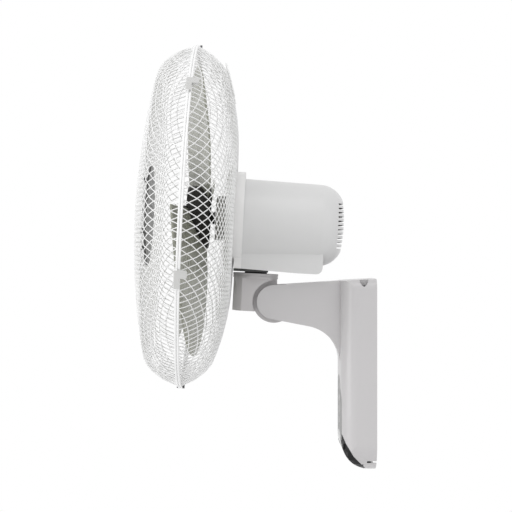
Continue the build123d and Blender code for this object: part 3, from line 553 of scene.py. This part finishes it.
CAST_ALUMINIUM = Finish(
    "cast_aluminium",
    (0.62, 0.63, 0.64),
    roughness=0.48,
    metallic=1.0,
    grain_strength=0.3,
    mottling=0.05,
)
GREEN_BOARD = Finish("green_board", (0.03, 0.14, 0.06), roughness=0.4, mottling=0.2, coat=0.3)
CREAM_BLOCK = Finish("cream_block", (0.70, 0.66, 0.52), roughness=0.5, mottling=0.04)
NYLON = Finish("nylon", (0.66, 0.64, 0.55), roughness=0.45, mottling=0.04)
BLACK_CAN = Finish("black_can", (0.03, 0.03, 0.035), roughness=0.4, mottling=0.1)

CAD_FINISHES: dict[Finish, tuple[str, ...]] = {
    WHITE_SHELL: ("shell_left", "shell_right"),
    WHITE_HOUSING: ("motor_housing",),
    WHITE_COVER_PAINTED_LIGHT: ("front_cover",),
    WHITE_WIRE: ("carry_loop",),
    GREY_NECK: ("neck_casting",),
    DARK_PAD_PAINTED_SHADE: ("swivel_pad",),
    PALE_PLATE: ("back_plate",),
    PALE_NUT: ("guard_nut",),
    DARK_BADGE: ("badge_disc",),
    BLACK_WINDOW: ("display_window",),
    GREY_BEZEL: ("control_bezel",),
    BUTTON_GREY: ("button_1", "button_2", "button_3", "button_4"),
    CLIP_GREY: ("rim_clip_1", "rim_clip_2", "rim_clip_3", "rim_clip_4"),
    BLACK_RUBBER: ("cable_grommet",),
    BLACK_FIBRE: ("friction_washers", "swivel_washer", "blade_nut"),
    ZINC_STEEL: ("arm_bracket", "motor_bracket", "swivel_post", "link_rod", "timer_motor"),
    DARK_STEEL: (
        "shell_screws",
        "bracket_screws",
        "hinge_bolt",
        "hinge_nut",
        "rim_screws",
        "rim_nuts",
        "motor_screws",
        "post_circlip",
        "stator_core",
        "rotor_core",
    ),
    BRIGHT_STEEL: ("motor_shaft",),
    BRASS: ("swivel_bush", "front_bearing", "rear_bearing"),
    COPPER: ("windings",),
    CAST_ALUMINIUM: ("front_bell", "rear_bell"),
    GREEN_BOARD: ("control_board",),
    CREAM_BLOCK: ("terminal_block",),
    NYLON: ("crank_disc",),
    BLACK_CAN: ("capacitor",),
}


class FinishShop:
    """Makes each finish once and dresses pieces in it."""

    def __init__(self) -> None:
        """Starts with no finish made."""
        self.made: dict[str, bpy.types.Material] = {}

    def material(self, finish: Finish) -> bpy.types.Material:
        """The material of a finish, made at its first use.

        Args:
            finish: The finish.

        Returns:
            Its material.
        """
        if finish.name not in self.made:
            self.made[finish.name] = finish.make()
        return self.made[finish.name]

    def dress(self, piece: Piece, finish: Finish) -> None:
        """Puts a finish on all of a piece.

        Args:
            piece: The piece.
            finish: The finish.
        """
        piece.data.materials.clear()
        piece.data.materials.append(self.material(finish))
        log.info("%s dressed in %s", piece.name, finish.name)

    def dress_frame(self, nodes: dict[str, Piece]) -> None:
        """Dresses the CAD nodes that stay in view.

        Args:
            nodes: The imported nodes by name.
        """
        for finish, names in CAD_FINISHES.items():
            for name in names:
                self.dress(nodes[name], finish)


# --- Guards ---------------------------------------------------------------------------------------------


class Facing(Enum):
    """Which way a guard bulges from the rim's plane."""

    FRONT = -1
    REAR = 1


@dataclass
class WireGuard:
    """One half of the guard: a mesh of crossing wires in a flat rim. All lengths are in metres.

    Attributes:
        name: The piece's name.
        node: The CAD node that it replaces.
        facing: Which way it bulges.
        depth: Distance of its crown from the rim's plane.
        flat_radius: Radius of the crown's flat middle.
        crown_radius: Radius of the crown's curve beyond it.
        hole_radius: Radius at which the wires stop in the middle, or 0.
        rim_radius: Outer radius of the rim.
        rim_depth: Width of the rim along the radius.
        rim_width: Width of the rim along the axis.
        rim_gap: Half the gap between the two rims.
        rim_soft: Softening of the rim's edges.
        rim_steps: Steps round the rim.
        corner_start: Radius at which the wires bend to the rim.
        corner_power: How square that bend is.
        wire_radius: Radius of a wire.
        wire_inset: How deep the wires end in the rim.
        wire_pitch: Distance between wires.
        wires_each_way: Wires in each of the two families.
        spans: Straight spans along one stretch of a wire.
        lug_inset: How far the screw lugs' middle lies inside the rim's outer radius.
        lug_width: Width of a lug across.
        lug_height: Its height.
        lug_soft: Softening of its edges.
    """

    name: str
    node: str
    facing: Facing
    depth: float
    flat_radius: float
    crown_radius: float
    hole_radius: float = 0.0
    rim_radius: float = 0.215
    rim_depth: float = 0.0045
    rim_width: float = 0.0026
    rim_gap: float = 0.00015
    rim_soft: float = 0.0004
    rim_steps: int = 160
    corner_start: float = 0.182
    corner_power: float = 0.75
    wire_radius: float = 0.0006
    wire_inset: float = 0.0015
    wire_pitch: float = 0.0074
    wires_each_way: int = 57
    spans: int = 20
    lug_inset: float = 0.002
    lug_width: float = 0.011
    lug_height: float = 0.008
    lug_soft: float = 0.0005

    def profile(self, radius: float) -> float:
        """Distance of the wires from the rim's plane.

        Args:
            radius: Distance from the fan's axis.

        Returns:
            The distance in metres.
        """
        crown = self.depth - max(0.0, radius - self.flat_radius) ** 2 / (2 * self.crown_radius)
        end = self.wire_end
        share = min(1.0, max(0.0, radius - self.corner_start) / (end - self.corner_start))
        level = self.rim_gap + self.rim_width / 2
        return level + (crown - level) * (1 - share**2) ** self.corner_power

    @property
    def wire_end(self) -> float:
        """Radius at which the wires end in the rim."""
        return self.rim_radius - self.wire_inset

    def runs(self, offset: float) -> list[tuple[float, float]]:
        """Start and end of a wire's stretches along its line.

        Args:
            offset: The wire's distance from the fan's axis.

        Returns:
            One stretch from rim to rim, or two where the wire stops at the hole.
        """
        reach = math.sqrt(self.wire_end**2 - offset**2)
        if abs(offset) >= self.hole_radius:
            return [(-reach, reach)]
        inner = math.sqrt(self.hole_radius**2 - offset**2)
        return [(-reach, -inner), (inner, reach)]

    def wire_points(self, offset: float, start: float, end: float, turn: float) -> list[Point]:
        """Points along one stretch of a wire.

        Args:
            offset: The wire's distance from the fan's axis.
            start: Where the stretch starts along the wire's line.
            end: Where it ends.
            turn: The direction of the wire's line in radians.

        Returns:
            The points in head measures.
        """
        first, last = math.asin(start / self.wire_end), math.asin(end / self.wire_end)
        points = []
        for step in range(self.spans + 1):
            along = self.wire_end * math.sin(first + (last - first) * step / self.spans)
            radius = min(self.wire_end, math.hypot(along, offset))
            across = offset * math.cos(turn) - along * math.sin(turn)
            up = offset * math.sin(turn) + along * math.cos(turn)
            points.append((across, self.facing.value * self.profile(radius), up))
        return points

    def lay_wires(self) -> Piece:
        """Lays both crossing families of wires.

        Returns:
            The wires as one mesh in head measures.
        """
        clear_selection()
        bpy.ops.curve.primitive_bezier_curve_add()
        mesh = named(bpy.context.active_object, self.name + "_mesh")
        mesh.data.splines.clear()
        outermost = -self.wire_pitch * (self.wires_each_way - 1) / 2
        for turn in (math.radians(45.0), math.radians(135.0)):
            for number in range(self.wires_each_way):
                offset = outermost + number * self.wire_pitch
                for start, end in self.runs(offset):
                    points = self.wire_points(offset, start, end, turn)
                    spline = mesh.data.splines.new("POLY")
                    spline.points.add(len(points) - 1)
                    for point, place in zip(spline.points, points):
                        point.co = (*place, 1.0)
        mesh.data.dimensions = "3D"
        mesh.data.bevel_depth = self.wire_radius
        mesh.data.bevel_resolution = 0
        pick(mesh)
        bpy.ops.object.convert(target="MESH")
        bpy.ops.object.shade_smooth()
        return bpy.context.active_object

    def turn_rim(self) -> Piece:
        """Turns the rim's flat strip with rounded edges.

        Returns:
            The rim in head measures.
        """
        near = self.facing.value * self.rim_gap
        far = self.facing.value * (self.rim_gap + self.rim_width)
        low = self.rim_radius - self.rim_depth
        high = self.rim_radius
        soft = self.rim_soft * self.facing.value
        outline = [
            (low, near + soft),
            (low + self.rim_soft, near),
            (high - self.rim_soft, near),
            (high, near + soft),
            (high, far - soft),
            (high - self.rim_soft, far),
            (low + self.rim_soft, far),
            (low, far - soft),
        ]
        rim = spun(self.name + "_rim", outline, self.rim_steps)
        smooth(rim, FITTING_ANGLE)
        return rim

    def build(self) -> Piece:
        """Builds the guard as one piece.

        Returns:
            The guard, settled at its place.
        """
        parts = [self.lay_wires(), self.turn_rim(), *self.fittings()]
        guard = join(parts, self.name)
        settle(guard, head_matrix())
        return guard

    def fittings(self) -> list[Piece]:
        """What else the guard carries: its screw lugs.

        Returns:
            The lugs in head measures.
        """
        return [self.lug(sign) for sign in (1, -1)]

    def lug(self, sign: int) -> Piece:
        """A screw lug at the top or foot of the rim.

        Args:
            sign: 1 for the top, -1 for the foot.

        Returns:
            The lug in head measures.
        """
        back = self.facing.value * (self.rim_gap + self.rim_width / 2)
        centre = (0.0, back, sign * (self.rim_radius - self.lug_inset))
        return block("lug", centre, (self.lug_width, self.rim_width, self.lug_height), self.lug_soft)

    def dress(self, shop: FinishShop) -> Piece:
        """Builds the guard and gives it its coat.

        Args:
            shop: Where finishes are made.

        Returns:
            The finished guard.
        """
        guard = self.build()
        shop.dress(guard, WHITE_WIRE)
        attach(guard, "head")
        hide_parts(self.node)
        return guard


def block(name: str, centre: Point, size: Point, soft: float) -> Piece:
    """A small block with softened edges.

    Args:
        name: The piece's name.
        centre: Its middle.
        size: Its lengths along x, y and z.
        soft: Radius of its edges.

    Returns:
        The block.
    """
    clear_selection()
    bpy.ops.mesh.primitive_cube_add(size=1.0, location=centre)
    piece = named(bpy.context.active_object, name)
    piece.scale = size
    bpy.ops.object.transform_apply(location=True, rotation=True, scale=True)
    bpy.ops.object.mode_set(mode="EDIT")
    bpy.ops.mesh.select_all(action="SELECT")
    bpy.ops.mesh.bevel(offset=soft, segments=BLOCK_SEGMENTS, affect="EDGES")
    bpy.ops.object.mode_set(mode="OBJECT")
    smooth(piece, FITTING_ANGLE)
    return piece


@dataclass
class FrontGuard(WireGuard):
    """The front guard, with the ears and pins that hold the rim clips.

    Attributes:
        clip_angles: Places of the clips round the rim, in degrees up from +x.
        clip_length: Length of a clip along the rim.
        ear_gap: Gap between a clip's end and its ear.
        ear_thick: Thickness of an ear along the rim.
        ear_low: Radius at an ear's foot.
        ear_high: Radius at its head.
        ear_front: Distance of its front from the rim's plane.
        ear_soft: Softening of its edges.
        pin_radius: Radius of a clip's pin.
        pin_sides: Faces round it.
        pin_soft: Softening of its ends.
        pin_out: Radius at which it lies.
        pin_back: Its place along the fan's axis.
    """

    name: str = "guard_front"
    node: str = "front_guard"
    facing: Facing = Facing.FRONT
    depth: float = 0.0654
    flat_radius: float = 0.0
    crown_radius: float = 0.820
    clip_angles: tuple[float, ...] = (-20.6, 43.4, 136.6, 200.6)
    clip_length: float = 0.022
    ear_gap: float = 0.00005
    ear_thick: float = 0.0012
    ear_low: float = 0.2133
    ear_high: float = 0.2178
    ear_front: float = 0.00435
    ear_soft: float = 0.0003
    pin_radius: float = 0.0006
    pin_sides: int = 10
    pin_soft: float = 0.0001
    pin_out: float = 0.21655
    pin_back: float = -0.0031

    def fittings(self) -> list[Piece]:
        """The screw lugs, and the clips' ears with their pins.

        Returns:
            The fittings in head measures.
        """
        pieces = super().fittings()
        ear_middle = (self.clip_length + self.ear_thick) / 2 + self.ear_gap
        for angle in self.clip_angles:
            turn = Matrix.Rotation(-math.radians(angle), 4, "Y")
            for sign in (1, -1):
                centre = ((self.ear_low + self.ear_high) / 2, -(self.ear_front + self.rim_gap) / 2, sign * ear_middle)
                size = (self.ear_high - self.ear_low, self.ear_front - self.rim_gap, self.ear_thick)
                ear = block("ear", centre, size, self.ear_soft)
                settle(ear, turn)
                pieces.append(ear)
            pin = self.pin(2 * ear_middle + self.ear_thick)
            settle(pin, turn)
            pieces.append(pin)
        return pieces

    def pin(self, length: float) -> Piece:
        """The pin that a rim clip hinges on.

        Args:
            length: Its length.

        Returns:
            The pin in head measures, for a clip on the +x side.
        """
        clear_selection()
        place = (self.pin_out, self.pin_back, 0.0)
        bpy.ops.mesh.primitive_cylinder_add(
            vertices=self.pin_sides, radius=self.pin_radius, depth=length, location=place
        )
        pin = named(bpy.context.active_object, "pin")
        bpy.ops.object.mode_set(mode="EDIT")
        bpy.ops.mesh.select_all(action="SELECT")
        bpy.ops.mesh.bevel(offset=self.pin_soft, segments=1, affect="EDGES")
        bpy.ops.object.mode_set(mode="OBJECT")
        smooth(pin, FITTING_ANGLE)
        return pin


@dataclass
class RearGuard(WireGuard):
    """The rear guard, whose middle is a pressed dish that the motor's cover sits behind.

    Attributes:
        dish_back: Distance of the dish's back face from the rim's plane.
        dish_plate: Thickness of its plate.
        dish_inner: Radius of its flat middle.
        dish_outer: Outer radius of its lip.
        dish_bend: How much further out its front face bends.
        dish_steps: Steps round it.
        sleeve_hole: Radius of the hole for the motor cover's sleeve.
        lip_width: Width of the lip's top.
        lip_proud: How far the lip stands behind the wires.
        lip_inner_drop: How far the lip's inner corner lies before the wires.
        lip_outer_drop: How far its outer corner lies before them.
        lip_foot: Width of the lip's front edge.
    """

    name: str = "guard_rear"
    node: str = "rear_guard"
    facing: Facing = Facing.REAR
    depth: float = 0.057
    flat_radius: float = 0.085
    crown_radius: float = 0.260
    hole_radius: float = 0.0695
    dish_back: float = 0.0481
    dish_plate: float = 0.0015
    dish_inner: float = 0.0615
    dish_outer: float = 0.072
    dish_bend: float = 0.001
    dish_steps: int = 96
    sleeve_hole: float = 0.0173
    lip_width: float = 0.004
    lip_proud: float = 0.0003
    lip_inner_drop: float = 0.0038
    lip_outer_drop: float = 0.0046
    lip_foot: float = 0.003

    def fittings(self) -> list[Piece]:
        """The screw lugs and the pressed dish.

        Returns:
            The fittings in head measures.
        """
        lip = self.depth
        outline = [
            (self.sleeve_hole, self.dish_back - self.dish_plate),
            (self.sleeve_hole, self.dish_back),
            (self.dish_inner, self.dish_back),
            (self.dish_outer - self.lip_width, lip - self.lip_inner_drop),
            (self.dish_outer - self.lip_width, lip + self.lip_proud),
            (self.dish_outer, lip + self.lip_proud),
            (self.dish_outer, lip - self.lip_outer_drop),
            (self.dish_outer - self.lip_foot, lip - self.lip_outer_drop),
            (self.dish_inner + self.dish_bend, self.dish_back - self.dish_plate),
        ]
        dish = spun("dish", outline, self.dish_steps)
        smooth(dish, TURNED_ANGLE)
        return [*super().fittings(), dish]


# --- Blades ---------------------------------------------------------------------------------------------


@dataclass
class BladeSet:
    """Three wide twisted blades on a cup-shaped hub.

    Attributes:
        count: How many blades there are.
        first_angle: Where the first one stands, in degrees up from +x.
        thick: Thickness of a blade.
        rows: Sections from the root to the tip: radius, turn of the trailing and of the leading edge in degrees from
            the blade's middle, and the depth of either edge.
        columns: Strips from edge to edge.
        trailing_corner: How far the trailing corner is drawn in at the tip.
        leading_corner: How far the leading corner is.
        corners_per_chord: How many corners' widths go from edge to edge.
        edge_round: Rounding of a blade's edges.
        edge_segments: Steps of that rounding.
        bevel_angle: Angle in degrees past which an edge is rounded.
        shading_angle: Angle in degrees past which an edge stays sharp in shading.
        root: Radius inwards of which the corners have no effect.
        hub_radius: Outer radius of the hub's cup.
        hub_front: Place of its front along the fan's axis.
        hub_back: Place of its rim.
        hub_wall: Thickness of its wall.
        hub_front_corner: Bevel at its front.
        hub_back_corner: Bevel at its rim.
        hub_steps: Steps round it.
        boss_radius: Radius of the boss round the shaft.
        boss_back: Place of the boss's end.
        shaft_radius: Radius of the shaft's bore.
    """

    count: int = 3
    first_angle: float = 84.0
    thick: float = 0.002
    rows: tuple[tuple[float, ...], ...] = (
        (0.0365, 49.6, -42.7, -0.0008, 0.0237),
        (0.050, 46.7, -47.0, -0.0025, 0.0246),
        (0.070, 43.4, -52.0, -0.0050, 0.0260),
        (0.090, 41.8, -53.4, -0.0069, 0.0265),
        (0.110, 40.7, -53.0, -0.0085, 0.0265),
        (0.130, 39.9, -49.9, -0.0098, 0.0259),
        (0.150, 39.4, -46.0, -0.0110, 0.0250),
        (0.166, 39.1, -43.1, -0.0118, 0.0233),
        (0.176, 39.0, -41.0, -0.0123, 0.0215),
        (0.184, 38.8, -38.9, -0.0127, 0.0195),
        (0.190, 38.7, -37.0, -0.0130, 0.0175),
    )
    columns: int = 32
    trailing_corner: float = 0.004
    leading_corner: float = 0.011
    corners_per_chord: float = 4.0
    edge_round: float = 0.0007
    edge_segments: int = 2
    bevel_angle: float = 50.0
    shading_angle: float = 60.0
    root: float = 0.034
    hub_radius: float = 0.039
    hub_front: float = -0.003
    hub_back: float = 0.026
    hub_wall: float = 0.0025
    hub_front_corner: float = 0.002
    hub_back_corner: float = 0.0006
    hub_steps: int = 64
    boss_radius: float = 0.008
    boss_back: float = 0.032
    shaft_radius: float = 0.004

    def place_on_blade(self, row: int, column: int) -> Vector:
        """A point of the blade's middle surface, before it is turned round the axis.

        Args:
            row: The section, from the hub outwards.
            column: The place along the section, from its trailing to its leading edge.

        Returns:
            The point in head measures, on a blade that points along +x.
        """
        radius, trailing, leading, depth_trailing, depth_leading = self.rows[row]
        share = column / self.columns
        near_trailing = max(0.0, 1 - self.corners_per_chord * share)
        near_leading = max(0.0, 1 - self.corners_per_chord * (1 - share))
        corner = self.trailing_corner * near_trailing**2 + self.leading_corner * near_leading**2
        reach = radius - corner * (radius - self.root) / (self.rows[-1][0] - self.root)
        turn = math.radians(trailing + (leading - trailing) * share)
        depth = depth_trailing + (depth_leading - depth_trailing) * share
        return Vector((reach * math.cos(turn), depth, reach * math.sin(turn)))

    def build_blade(self) -> Piece:
        """Shapes one blade.

        Returns:
            The blade in head measures, pointing along +x.
        """
        clear_selection()
        last = len(self.rows) - 1
        bpy.ops.mesh.primitive_grid_add(x_subdivisions=last, y_subdivisions=self.columns, size=1.0)
        blade = named(bpy.context.active_object, "blade")
        for vertex in blade.data.vertices:
            row = round((vertex.co.x + 0.5) * last)
            column = round((vertex.co.y + 0.5) * self.columns)
            vertex.co = self.place_on_blade(row, column)
        recalculate_outside(blade)
        wall = blade.modifiers.new("wall", "SOLIDIFY")
        wall.thickness = self.thick
        wall.offset = 0.0
        rounding = blade.modifiers.new("rounding", "BEVEL")
        rounding.width = self.edge_round
        rounding.segments = self.edge_segments
        rounding.angle_limit = math.radians(self.bevel_angle)
        finish_modifiers(blade)
        smooth(blade, self.shading_angle)
        return blade

    def build_hub(self) -> Piece:
        """Turns the hub cup with its boss.

        Returns:
            The hub in head measures.
        """
        inner = self.hub_radius - self.hub_wall
        outline = [
            (self.shaft_radius, self.hub_front),
            (self.hub_radius - self.hub_front_corner, self.hub_front),
            (self.hub_radius, self.hub_front + self.hub_front_corner),
            (self.hub_radius, self.hub_back - self.hub_back_corner),
            (self.hub_radius - self.hub_back_corner, self.hub_back),
            (inner, self.hub_back),
            (inner, self.hub_front + self.hub_wall),
            (self.boss_radius, self.hub_front + self.hub_wall),
            (self.boss_radius, self.boss_back),
            (self.shaft_radius, self.boss_back),
        ]
        hub = spun("blade_hub", outline, self.hub_steps)
        smooth(hub, TURNED_ANGLE)
        return hub

    def dress(self, shop: FinishShop) -> None:
        """Builds the blades and the hub and dresses them.

        Args:
            shop: Where finishes are made.
        """
        blade = self.build_blade()
        blades = []
        for number in range(self.count):
            angle = self.first_angle + number * 360 / self.count
            turn = Matrix.Rotation(-math.radians(angle), 4, "Y")
            blades.append(copy_of(blade, turn, f"blade_{number + 1}"))
        bpy.data.objects.remove(blade)
        for piece in blades:
            settle(piece, head_matrix())
            shop.dress(piece, SMOKED_BLADE)
            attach(piece, "rotor")
            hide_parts("fan_blades")
        hub = self.build_hub()
        settle(hub, head_matrix())
        shop.dress(hub, DARK_HUB)
        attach(hub, "rotor")
        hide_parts("fan_blades")


# --- Panel window ---------------------------------------------------------------------------------------


@dataclass
class WindowWrap:
    """The black edge of the panel's window, where it wraps round the column's foot onto both flanks.

    Attributes:
        name: The piece's name.
        proud: How far it stands over the shells.
        shading_angle: Angle in degrees past which an edge stays sharp in shading.
        inner_line: Its inner line in the side view: points (y, z) down the column's foot.
    """

    name: str = "window_wrap"
    proud: float = 0.0003
    shading_angle: float = 30.0
    inner_line: tuple[tuple[float, float], ...] = (
        (-0.0450, -0.0700),
        (-0.0385, -0.0860),
        (-0.0290, -0.1020),
        (-0.0130, -0.1190),
    )

    def strip(self, skin: Piece, first: Vector, last: Vector, number: int) -> Piece:
        """Cuts one stretch of the wrap out of a copy of the shells.

        Args:
            skin: The shells' joined copy.
            first: The stretch's upper point on the inner line.
            last: Its lower point.
            number: The stretch's number.

        Returns:
            The stretch.
        """
        piece = copy_of(skin, Matrix(), f"{self.name}_{number}")
        along = (last - first).normalized()
        outward = Vector((0.0, along.z, -along.y))
        if outward.y > 0:
            outward = -outward
        pick(piece)
        bpy.ops.object.mode_set(mode="EDIT")
        for spot, normal in ((first, outward), (first, Vector((0, 0, -1))), (last, Vector((0, 0, 1)))):
            bpy.ops.mesh.select_all(action="SELECT")
            bpy.ops.mesh.bisect(plane_co=spot, plane_no=normal, use_fill=True, clear_inner=True)
        bpy.ops.object.mode_set(mode="OBJECT")
        return piece

    def build(self, shells: list[Piece]) -> Piece:
        """Shapes the wrap as a close skin over the shells' foot.

        Args:
            shells: The two halves of the column.

        Returns:
            The wrap.
        """
        skin = join([copy_of(shell, Matrix(), shell.name + "_skin") for shell in shells], "skin")
        for mark in list(skin.keys()):
            del skin[mark]
        recalculate_outside(skin)
        points = [Vector((0.0, y, z)) for y, z in self.inner_line]
        strips = [self.strip(skin, first, last, n) for n, (first, last) in enumerate(zip(points, points[1:]))]
        bpy.data.objects.remove(skin)
        wrap = join(strips, self.name)
        recalculate_outside(wrap)
        pick(wrap)
        bpy.ops.object.mode_set(mode="EDIT")
        bpy.ops.mesh.select_all(action="SELECT")
        bpy.ops.transform.shrink_fatten(value=self.proud)
        bpy.ops.object.mode_set(mode="OBJECT")
        smooth(wrap, self.shading_angle)
        return wrap

    def dress(self, shop: FinishShop, nodes: dict[str, Piece]) -> None:
        """Builds the wrap and dresses it.

        Args:
            shop: Where finishes are made.
            nodes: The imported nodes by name.
        """
        wrap = self.build([nodes["shell_left"], nodes["shell_right"]])
        shop.dress(wrap, BLACK_WINDOW)
        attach(wrap, "wall_mount")


# --- Studio ---------------------------------------------------------------------------------------------


@dataclass(frozen=True)
class Lamp:
    """A square soft lamp.

    Attributes:
        name: Its name.
        place: Where it stands.
        size: Its side in metres.
        power: Its power in watts.
    """

    name: str
    place: Point
    size: float
    power: float


@dataclass
class Studio:
    """Camera, lamps, world and floor.

    Attributes:
        camera_place: Where the camera stands.
        lens: Its focal length in millimetres.
        sensor: Its sensor's width in millimetres.
        near_limit: The nearest distance that it sees.
        lamps: The soft lamps.
        lamp_target: What they look at.
        floor_level: Height of the floor.
        floor_size: Its side.
        floor_grey: How light it is.
        floor_roughness: Its roughness.
        ambient: Strength of the room's even light.
    """

    camera_place: Point = (1.771, -0.1493, 0.1457)
    lens: float = 98.44
    sensor: float = 36.0
    near_limit: float = 0.05
    lamps: tuple[Lamp, ...] = (
        Lamp("top_lamp", (1.0, -0.4, 1.7), size=1.2, power=6.0),
        Lamp("front_lamp", (1.1, -1.9, 0.0), size=1.0, power=10.0),
    )
    lamp_target: Point = (0.0, -0.15, 0.12)
    floor_level: float = -0.30
    floor_size: float = 8.0
    floor_grey: float = 0.9
    floor_roughness: float = 0.9
    ambient: float = 0.84

    def set_camera(self) -> None:
        """Sets the camera at the photograph's place, level and square to the wall's edge."""
        clear_selection()
        bpy.ops.object.camera_add(location=self.camera_place, rotation=(math.pi / 2, 0.0, math.pi / 2))
        camera = bpy.context.active_object
        camera.name = "camera"
        camera.data.lens = self.lens
        camera.data.sensor_width = self.sensor
        camera.data.clip_start = self.near_limit
        bpy.context.scene.camera = camera

    def hang_lamp(self, lamp: Lamp) -> None:
        """Adds a lamp that looks at the fan.

        Args:
            lamp: The lamp.
        """
        clear_selection()
        bpy.ops.object.light_add(type="AREA", location=lamp.place)
        light = bpy.context.active_object
        light.name = lamp.name
        light.data.size = lamp.size
        light.data.energy = lamp.power
        towards = Vector(self.lamp_target) - Vector(lamp.place)
        light.rotation_euler = towards.to_track_quat("-Z", "Y").to_euler()

    def white_to_camera(self, tree: bpy.types.NodeTree, plain: Socket, output: Socket) -> None:
        """Shows plain white to the camera and to what it sees by mirror or through glass.

        Args:
            tree: The node tree.
            plain: The shader that other rays meet.
            output: The output's surface socket.
        """
        path = tree.nodes.new("ShaderNodeLightPath")
        seen = path.outputs["Is Camera Ray"]
        for other in ("Is Glossy Ray", "Is Transmission Ray"):
            either = tree.nodes.new("ShaderNodeMath")
            either.operation = "MAXIMUM"
            tree.links.new(seen, either.inputs[0])
            tree.links.new(path.outputs[other], either.inputs[1])
            seen = either.outputs[0]
        white = tree.nodes.new("ShaderNodeBackground" if output.node.type == "OUTPUT_WORLD" else "ShaderNodeEmission")
        white.inputs["Color"].default_value = WHITE
        white.inputs["Strength"].default_value = 1.0
        mix = tree.nodes.new("ShaderNodeMixShader")
        tree.links.new(seen, mix.inputs[0])
        tree.links.new(plain, mix.inputs[1])
        tree.links.new(white.outputs[0], mix.inputs[2])
        tree.links.new(mix.outputs[0], output)

    def set_world(self) -> None:
        """Lights the room evenly and leaves the background white."""
        world = bpy.data.worlds.new("room")
        bpy.context.scene.world = world
        world.use_nodes = True
        tree = world.node_tree
        plain = next(n for n in tree.nodes if n.type == "BACKGROUND")
        plain.inputs["Color"].default_value = WHITE
        plain.inputs["Strength"].default_value = self.ambient
        output = next(n for n in tree.nodes if n.type == "OUTPUT_WORLD")
        self.white_to_camera(tree, plain.outputs[0], output.inputs["Surface"])

    def lay_floor(self) -> None:
        """Lays the pale floor."""
        clear_selection()
        bpy.ops.mesh.primitive_plane_add(size=self.floor_size, location=(0, 0, self.floor_level))
        floor = named(bpy.context.active_object, "floor")
        material = bpy.data.materials.new("floor_paint")
        material.use_nodes = True
        tree = material.node_tree
        shader = next(n for n in tree.nodes if n.type == "BSDF_PRINCIPLED")
        shader.inputs["Base Color"].default_value = (self.floor_grey, self.floor_grey, self.floor_grey, 1.0)
        shader.inputs["Roughness"].default_value = self.floor_roughness
        output = next(n for n in tree.nodes if n.type == "OUTPUT_MATERIAL")
        self.white_to_camera(tree, shader.outputs[0], output.inputs["Surface"])
        floor.data.materials.append(material)

    def build(self) -> None:
        """Sets the camera, the lamps, the world and the floor."""
        bpy.context.scene.view_settings.view_transform = "Standard"
        self.set_camera()
        self.set_world()
        self.lay_floor()
        for lamp in self.lamps:
            self.hang_lamp(lamp)


def main() -> None:
    """Builds the fan's looks over its frame."""
    logging.basicConfig(level=logging.INFO, format="%(name)s: %(message)s")
    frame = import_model()
    Studio().build()
    shop = FinishShop()
    shop.dress_frame(frame["nodes"])
    for guard in (FrontGuard(), RearGuard()):
        piece = guard.dress(shop)
        log.info("%s has %d faces", piece.name, len(piece.data.polygons))
    BladeSet().dress(shop)
    WindowWrap().dress(shop, frame["nodes"])


if __name__ == "__main__":
    main()
